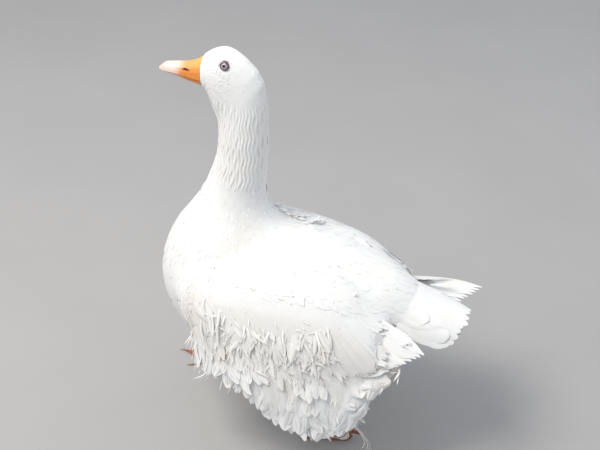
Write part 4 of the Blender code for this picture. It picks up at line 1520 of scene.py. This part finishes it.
def round_eye(sign, radius, polar, turn):
    """A place round an eye: its distance from the middle, its angle from the way the eye looks, its turn."""
    axis = unit(way(EYE_AXIS, sign))
    across = unit(np.cross(axis, UP))
    above = np.cross(across, axis)
    flat = across * math.cos(turn) + above * math.sin(turn)
    return spot(EYE_PLACE, sign) + radius * (axis * math.cos(polar) + flat * math.sin(polar))


def build_eye(side, colours):
    """An eyeball with a slight bulge at the front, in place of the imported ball."""
    sign = SIDES[side]
    rings, sectors = 20, 40
    points = [round_eye(sign, EYE_RADIUS, 0.0, 0.0)]
    faces = []
    for i in range(1, rings + 1):
        polar = math.pi * i / (rings + 0.5)
        radius = EYE_RADIUS * (1.0 + 0.02 * math.exp(-((polar / 0.45) ** 2)))
        for j in range(sectors):
            points.append(round_eye(sign, radius, polar, 2 * math.pi * j / sectors))
    for j in range(sectors):
        faces.append((0, 1 + j, 1 + (j + 1) % sectors))
        for i in range(rings - 1):
            a, b = 1 + i * sectors + j, 1 + i * sectors + (j + 1) % sectors
            faces.append((a, a + sectors, b + sectors, b))
    last = 1 + (rings - 1) * sectors
    faces.append(tuple(last + j for j in reversed(range(sectors))))
    piece = mesh_piece(f"eye_ball_{side}", points, faces)
    return finished(piece, eye_finish(colours, sign), "grey_blue_eye", f"eye_{side}")


def mesh_piece(name, points, faces):
    """A smooth piece from its points and faces."""
    mesh = bpy.data.meshes.new(name)
    mesh.from_pydata([tuple(p) for p in points], [], faces)
    mesh.shade_smooth()
    mesh.update()
    return bpy.data.objects.new(name, mesh)


def build_lids(side, colours):
    """The bare dark rim of the eye, with a fold all round and a corner in front and behind."""
    sectors = 56
    points = []
    for j in range(sectors):
        turn = 2 * math.pi * j / sectors
        cos, sin = math.cos(turn), math.sin(turn)
        corner = abs(cos) ** 6
        opening = 0.0046 * (1 + 0.10 * corner) * (1 - 0.07 * abs(sin))
        outer = 0.0065 + 0.0010 * corner - 0.0003 * abs(sin)
        for share, height in LID_PROFILE:
            reach = opening + (outer - opening) * share
            polar = math.asin(min(0.999, reach / (EYE_RADIUS + 0.0004)))
            points.append(round_eye(SIDES[side], EYE_RADIUS + 0.0002 + height, polar, turn))
    count = len(LID_PROFILE)
    faces = []
    for j in range(sectors):
        for k in range(count):
            a = j * count + k
            b = j * count + (k + 1) % count
            c = ((j + 1) % sectors) * count + (k + 1) % count
            d = ((j + 1) % sectors) * count + k
            faces.append((a, b, c, d))
    finish = Finish(f"eyelid {side}", Specular_IOR_Level=0.4)
    crease = finish.noise(900.0, 4.0)
    finish.feed("Base Color", finish.blend(crease, tuple(colours.lid), tuple(2.6 * c for c in colours.lid)))
    finish.feed("Roughness", crease * 0.3 + 0.35)
    finish.bump(crease, 0.4, 0.0003)
    return finished(mesh_piece(f"eyelid_{side}", points, faces), finish.material, "grey_blue_eye")


def leg_finish(colours):
    """Brick-orange scaly skin, darker in random patches and in the grooves between scales, with painted shade
    greying it up the shank.
    """
    finish = Finish("leg skin", Specular_IOR_Level=0.35)
    up = finish.part_of(finish.place(), 2)
    scales = finish.cells(430.0, feature="DISTANCE_TO_EDGE")
    broad = finish.noise(60.0, 4.0)
    groove = 1.0 - scales.between(0.02, 0.16)
    colour = finish.blend(broad.between(0.35, 0.7), tuple(colours.leg), tuple(0.62 * c for c in colours.leg))
    # Painted shade: the skin turns greyer up the shank, under the hem of the plumes.
    colour = finish.blend((up + broad * 0.02).between(0.03, 0.085) * 0.55, colour, tuple(colours.shank))
    colour = finish.blend(groove * 0.5, colour, tuple(0.35 * c for c in colours.leg))
    finish.feed("Base Color", colour)
    finish.feed("Roughness", broad * 0.25 + 0.45)
    finish.bump(scales.between(0.0, 0.2) + finish.noise(700.0, 3.0) * 0.25, 0.7, 0.0006)
    return finish.material


def claw_finish(colours):
    """Brownish horn with a faint grain."""
    finish = Finish("horn claw")
    along = finish.noise(300.0, 4.0)
    finish.feed("Base Color", finish.blend(along, tuple(colours.claw), tuple(0.5 * c for c in colours.claw)))
    finish.feed("Roughness", along * 0.2 + 0.3)
    finish.bump(along, 0.2, 0.0002)
    return finish.material


def loose_plumes(side, rng):
    """The few plumes that have worked loose below the hem, one curled like a sickle."""
    sign = SIDES[side]
    coat = Coat()
    shares = LONG[:, None]
    nodes = []
    for which, (root, tip, bow, width) in LOOSE_PLUMES.items():
        start, end = spot(root, sign), spot(tip, sign)
        bulge = way((-1.0, 0.15, 0.1), sign) * bow
        line = start * (1 - shares) + end * shares + bulge * (4 * shares * (1 - shares)) * (0.5 + shares)
        spread = np.array((0.0, 0.4, 1.0))[:, None, None]
        line = line + way((0.012, 0.004, 0.004), sign) * spread * shares**2
        normals = np.tile(unit(way((0.25, 1.0, 0.2), sign)), (3, len(LONG), 1))
        twist = np.tile(np.linspace(0, 1.2, len(LONG)), (3, 1))
        normals = turned(normals, unit(np.gradient(line, axis=1)), twist)
        length = np.full(3, np.linalg.norm(end - start))
        coat.add(STRIP, line, normals, width * np.array((1.0, 0.7, 0.5)), length, rng)
        nodes.append(f"loose_plume_{side}_{which}")
    piece = coat.piece(f"loose_plumes_{side}")
    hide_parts(*nodes)


# ----------------------------------------------------------------------------------- properties


def colour_property(name, description, *default):
    """A colour that can be set in the panel."""
    return FloatVectorProperty(name=name, description=description, subtype="COLOR", default=default)


class GooseSizes(bpy.types.PropertyGroup):
    """How fine the skin is, and the measures of the neck and the plumes"""

    skin_step: FloatProperty(
        name="Skin step",
        description="Size of the skin's faces",
        default=0.0032,
        min=0.0015,
        unit="LENGTH",
    )
    neck_ridges: IntProperty(
        name="Neck ridges",
        description="Ridges round the furrowed neck",
        default=38,
        min=8,
    )
    plume_length: FloatProperty(
        name="Plume length",
        description="Length of the flank plumes against their usual one",
        default=1.0,
        subtype="FACTOR",
    )


class GooseColours(bpy.types.PropertyGroup):
    """The colours of the bird and the floor"""

    plumage: colour_property("Plumage", "Clean white feathers", 0.86, 0.86, 0.855)
    # Random cream tone of the plumage, and the colour of its painted shade at feather roots and painted warm
    # shading on the ruffled plumes
    plumage_cream_and_shade: colour_property("Cream and shaded plumage", "Ivory cast of ruffled feathers", 0.81, 0.76, 0.69)
    bill: colour_property("Bill", "Side of the bill", 0.80, 0.27, 0.05)
    bill_top: colour_property("Top of the bill", "Root of the bill above", 0.86, 0.43, 0.12)
    bill_tip: colour_property("Bill tip", "Front of the bill", 0.84, 0.66, 0.58)
    nail: colour_property("Nail", "Nail at the bill's end", 0.78, 0.62, 0.55)
    bill_under: colour_property("Under the bill", "Front of the lower bill", 0.80, 0.46, 0.36)
    iris: colour_property("Iris", "Grey-blue iris", 0.32, 0.29, 0.32)
    lid: colour_property("Eyelid", "Bare rim of the eye", 0.10, 0.068, 0.075)
    # Painted shade: the greyer colour the skin turns up the shank
    shank: colour_property("Shank", "Greyer skin up the shank", 0.42, 0.27, 0.22)
    claw: colour_property("Claw", "Horn of the claws", 0.55, 0.45, 0.36)
    leg: colour_property("Leg", "Skin of legs and feet", 0.50, 0.16, 0.08)
    floor: colour_property("Floor", "Floor round the bird", 0.46, 0.445, 0.435)


# ------------------------------------------------------------------------------------ operators


def surface_of_skin():
    """The skin that is in the scene, as a surface to lay feathers on."""
    skin = bpy.data.objects.get("skin")
    if skin is None:
        raise RuntimeError("the skin comes before the feathers")
    return Surface(skin.data)


class GOOSE_OT_skin(bpy.types.Operator):
    """Build the skin under the coat"""

    bl_idname = "goose.skin"
    bl_label = "Skin"

    def execute(self, context):
        build_skin(context.scene.goose_sizes)
        return {"FINISHED"}


class GOOSE_OT_small_feathers(bpy.types.Operator):
    """Cover head, neck and body with small feathers"""

    bl_idname = "goose.small_feathers"
    bl_label = "Small feathers"

    def execute(self, context):
        surface = surface_of_skin()
        rng = np.random.default_rng(SEEDS["small"])
        small_feathers(surface, "head_feathers", on_head, 0.33, DOWNY, rng)
        small_feathers(surface, "neck_down", on_neck, 0.34, DOWNY, rng)
        for side, sign in SIDES.items():
            for part in ("breast", "rear"):
                chosen = on_body(part, sign)
                small_feathers(surface, f"{part}_feathers_{side}", chosen, 0.31, BODY, rng, 0.58, 0.32)
        neck_ridges(surface, context.scene.goose_sizes, rng)
        small_feathers(surface, "cheek_tufts", on_cheek, 0.75, DOWNY, rng, 1.5, 1.1, lift=0.08)
        back_tufts(surface, rng)
        return {"FINISHED"}


class GOOSE_OT_long_feathers(bpy.types.Operator):
    """Lay the long feathers of the wings and tail"""

    bl_idname = "goose.long_feathers"
    bl_label = "Wing and tail feathers"

    def execute(self, context):
        surface = surface_of_skin()
        rng = np.random.default_rng(SEEDS["long"])
        for side in SIDES:
            long_feathers(surface, side, rng)
        tail_feathers(surface, rng)
        return {"FINISHED"}


class GOOSE_OT_plumes(bpy.types.Operator):
    """Hang the curled plumes on the flanks"""

    bl_idname = "goose.plumes"
    bl_label = "Curled plumes"

    def execute(self, context):
        surface = surface_of_skin()
        rng = np.random.default_rng(SEEDS["plumes"])
        for side in SIDES:
            flank_plumes(surface, side, context.scene.goose_sizes, rng)
            wing_curls(surface, side, rng)
            loose_plumes(side, rng)
        return {"FINISHED"}


class GOOSE_OT_bill(bpy.types.Operator):
    """Make the bill and its nail"""

    bl_idname = "goose.bill"
    bl_label = "Bill"

    def execute(self, context):
        colours = context.scene.goose_colours
        upper = bill_finish("orange bill", colours, 0.1120, colours.bill_tip)
        lower = bill_finish("lower bill", colours, 0.1050, colours.bill_under, lip=0.8)
        nail = bill_finish("bill nail", colours, 0.1000, colours.nail)
        nails = ["bill_nail"]
        refined("bill_above", ["bill_upper"], BILL_STEP, 12, upper, "orange_bill", under_nail, nails)
        refined("bill_below", ["bill_lower"], BILL_STEP, 16, lower, "orange_bill")
        refined("bill_tip", nails, NAIL_STEP, 30, nail, "pale_nail", nail_shield)
        return {"FINISHED"}


class GOOSE_OT_eyes(bpy.types.Operator):
    """Make the eyes and their lids"""

    bl_idname = "goose.eyes"
    bl_label = "Eyes"

    def execute(self, context):
        for side in SIDES:
            build_eye(side, context.scene.goose_colours)
            build_lids(side, context.scene.goose_colours)
        return {"FINISHED"}


class GOOSE_OT_legs(bpy.types.Operator):
    """Make the scaly legs and webbed feet, and finish the claws"""

    bl_idname = "goose.legs"
    bl_label = "Legs"

    def execute(self, context):
        skin = leg_finish(context.scene.goose_colours)
        horn = claw_finish(context.scene.goose_colours)
        for side in SIDES:
            nodes = [f"{part}_{side}" for part in ("shank", "foot", "hind_toe")]
            refined(f"leg_{side}", nodes, LEG_STEP, 10, skin, "brick_orange_leg")
            for toe in ("hind", "inner", "middle", "outer"):
                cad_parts[f"claw_{side}_{toe}"].material_slots[0].material = horn
        return {"FINISHED"}


class GOOSE_OT_stage(bpy.types.Operator):
    """Set up the floor, the lights and the camera"""

    bl_idname = "goose.stage"
    bl_label = "Stage"

    def execute(self, context):
        build_floor(context.scene)
        build_lights(context.scene)
        build_camera(context.scene)
        return {"FINISHED"}


def build_floor(scene):
    """A plain matt floor, a little mottled."""
    mesh = bpy.data.meshes.new("floor")
    corners = [(-1, -1), (1, -1), (1, 1), (-1, 1)]
    mesh.from_pydata([(FLOOR_REACH * x, FLOOR_REACH * y, 0) for x, y in corners], [], [(0, 1, 2, 3)])
    floor = bpy.data.objects.new("floor", mesh)
    scene.collection.objects.link(floor)
    finish = Finish("matt floor", Roughness=0.9)
    colour = scene.goose_colours.floor
    shade = finish.noise(3.0, 5.0)
    finish.feed("Base Color", finish.blend(shade, tuple(0.88 * c for c in colour), tuple(colour)))
    mesh.materials.append(finish.material)


def build_lights(scene):
    """A soft sky and two broad lamps."""
    world = bpy.data.worlds.new("soft sky")
    world.use_nodes = True
    sky = world.node_tree.nodes["Background"]
    sky.inputs["Color"].default_value = (*SKY_COLOUR, 1)
    sky.inputs["Strength"].default_value = SKY_STRENGTH
    scene.world = world
    for name, (place, power, size, colour) in LAMPS.items():
        light = bpy.data.lights.new(name, "AREA")
        light.energy = power
        light.size = size
        light.color = colour
        lamp = bpy.data.objects.new(name, light)
        lamp.location = place
        lamp.rotation_mode = "QUATERNION"
        lamp.rotation_quaternion = (Vector(LAMPS_AIM) - Vector(place)).to_track_quat("-Z", "Y")
        scene.collection.objects.link(lamp)


def build_camera(scene):
    """A camera to the bird's left and a little behind it, looking down."""
    camera = bpy.data.cameras.new("camera")
    camera.lens = CAMERA_LENS
    camera.sensor_width = 36.0
    camera.clip_start = 0.05
    camera.clip_end = 50.0
    eye = bpy.data.objects.new("camera", camera)
    heading, pitch, roll = (math.radians(angle) for angle in CAMERA_ANGLES)
    level = math.cos(pitch)
    forward = Vector((-math.cos(heading) * level, -math.sin(heading) * level, -math.sin(pitch)))
    right = Vector((-math.sin(heading), math.cos(heading), 0.0))
    up = right.cross(forward)
    turn = Matrix((right, up, -forward)).transposed() @ Matrix.Rotation(roll, 3, "Z")
    eye.matrix_world = Matrix.Translation(CAMERA_PLACE) @ turn.to_4x4()
    scene.collection.objects.link(eye)
    scene.camera = eye
    scene.view_settings.view_transform = "Standard"


class GOOSE_PT_panel(bpy.types.Panel):
    """The bird's measures, its colours and the steps that build it"""

    bl_idname = "GOOSE_PT_panel"
    bl_label = "Domestic goose"
    bl_space_type = "VIEW_3D"
    bl_region_type = "UI"
    bl_category = "Goose"

    def draw(self, context):
        for group in (context.scene.goose_sizes, context.scene.goose_colours):
            for key in group.__annotations__:
                self.layout.prop(group, key)
        for step in STEPS:
            self.layout.operator(step.bl_idname)


STEPS = (
    GOOSE_OT_skin,
    GOOSE_OT_small_feathers,
    GOOSE_OT_long_feathers,
    GOOSE_OT_plumes,
    GOOSE_OT_bill,
    GOOSE_OT_eyes,
    GOOSE_OT_legs,
    GOOSE_OT_stage,
)
CLASSES = (GooseSizes, GooseColours, *STEPS, GOOSE_PT_panel)


def register():
    """Adds the classes and the scene's settings."""
    for kind in CLASSES:
        bpy.utils.register_class(kind)
    bpy.types.Scene.goose_sizes = PointerProperty(type=GooseSizes)
    bpy.types.Scene.goose_colours = PointerProperty(type=GooseColours)


def unregister():
    """Takes the settings and the classes away again."""
    del bpy.types.Scene.goose_colours
    del bpy.types.Scene.goose_sizes
    for kind in reversed(CLASSES):
        bpy.utils.unregister_class(kind)


def main():
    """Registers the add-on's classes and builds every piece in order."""
    register()
    for step in STEPS:
        group, name = step.bl_idname.split(".")
        getattr(getattr(bpy.ops, group), name)()


if __name__ == "__main__":
    main()
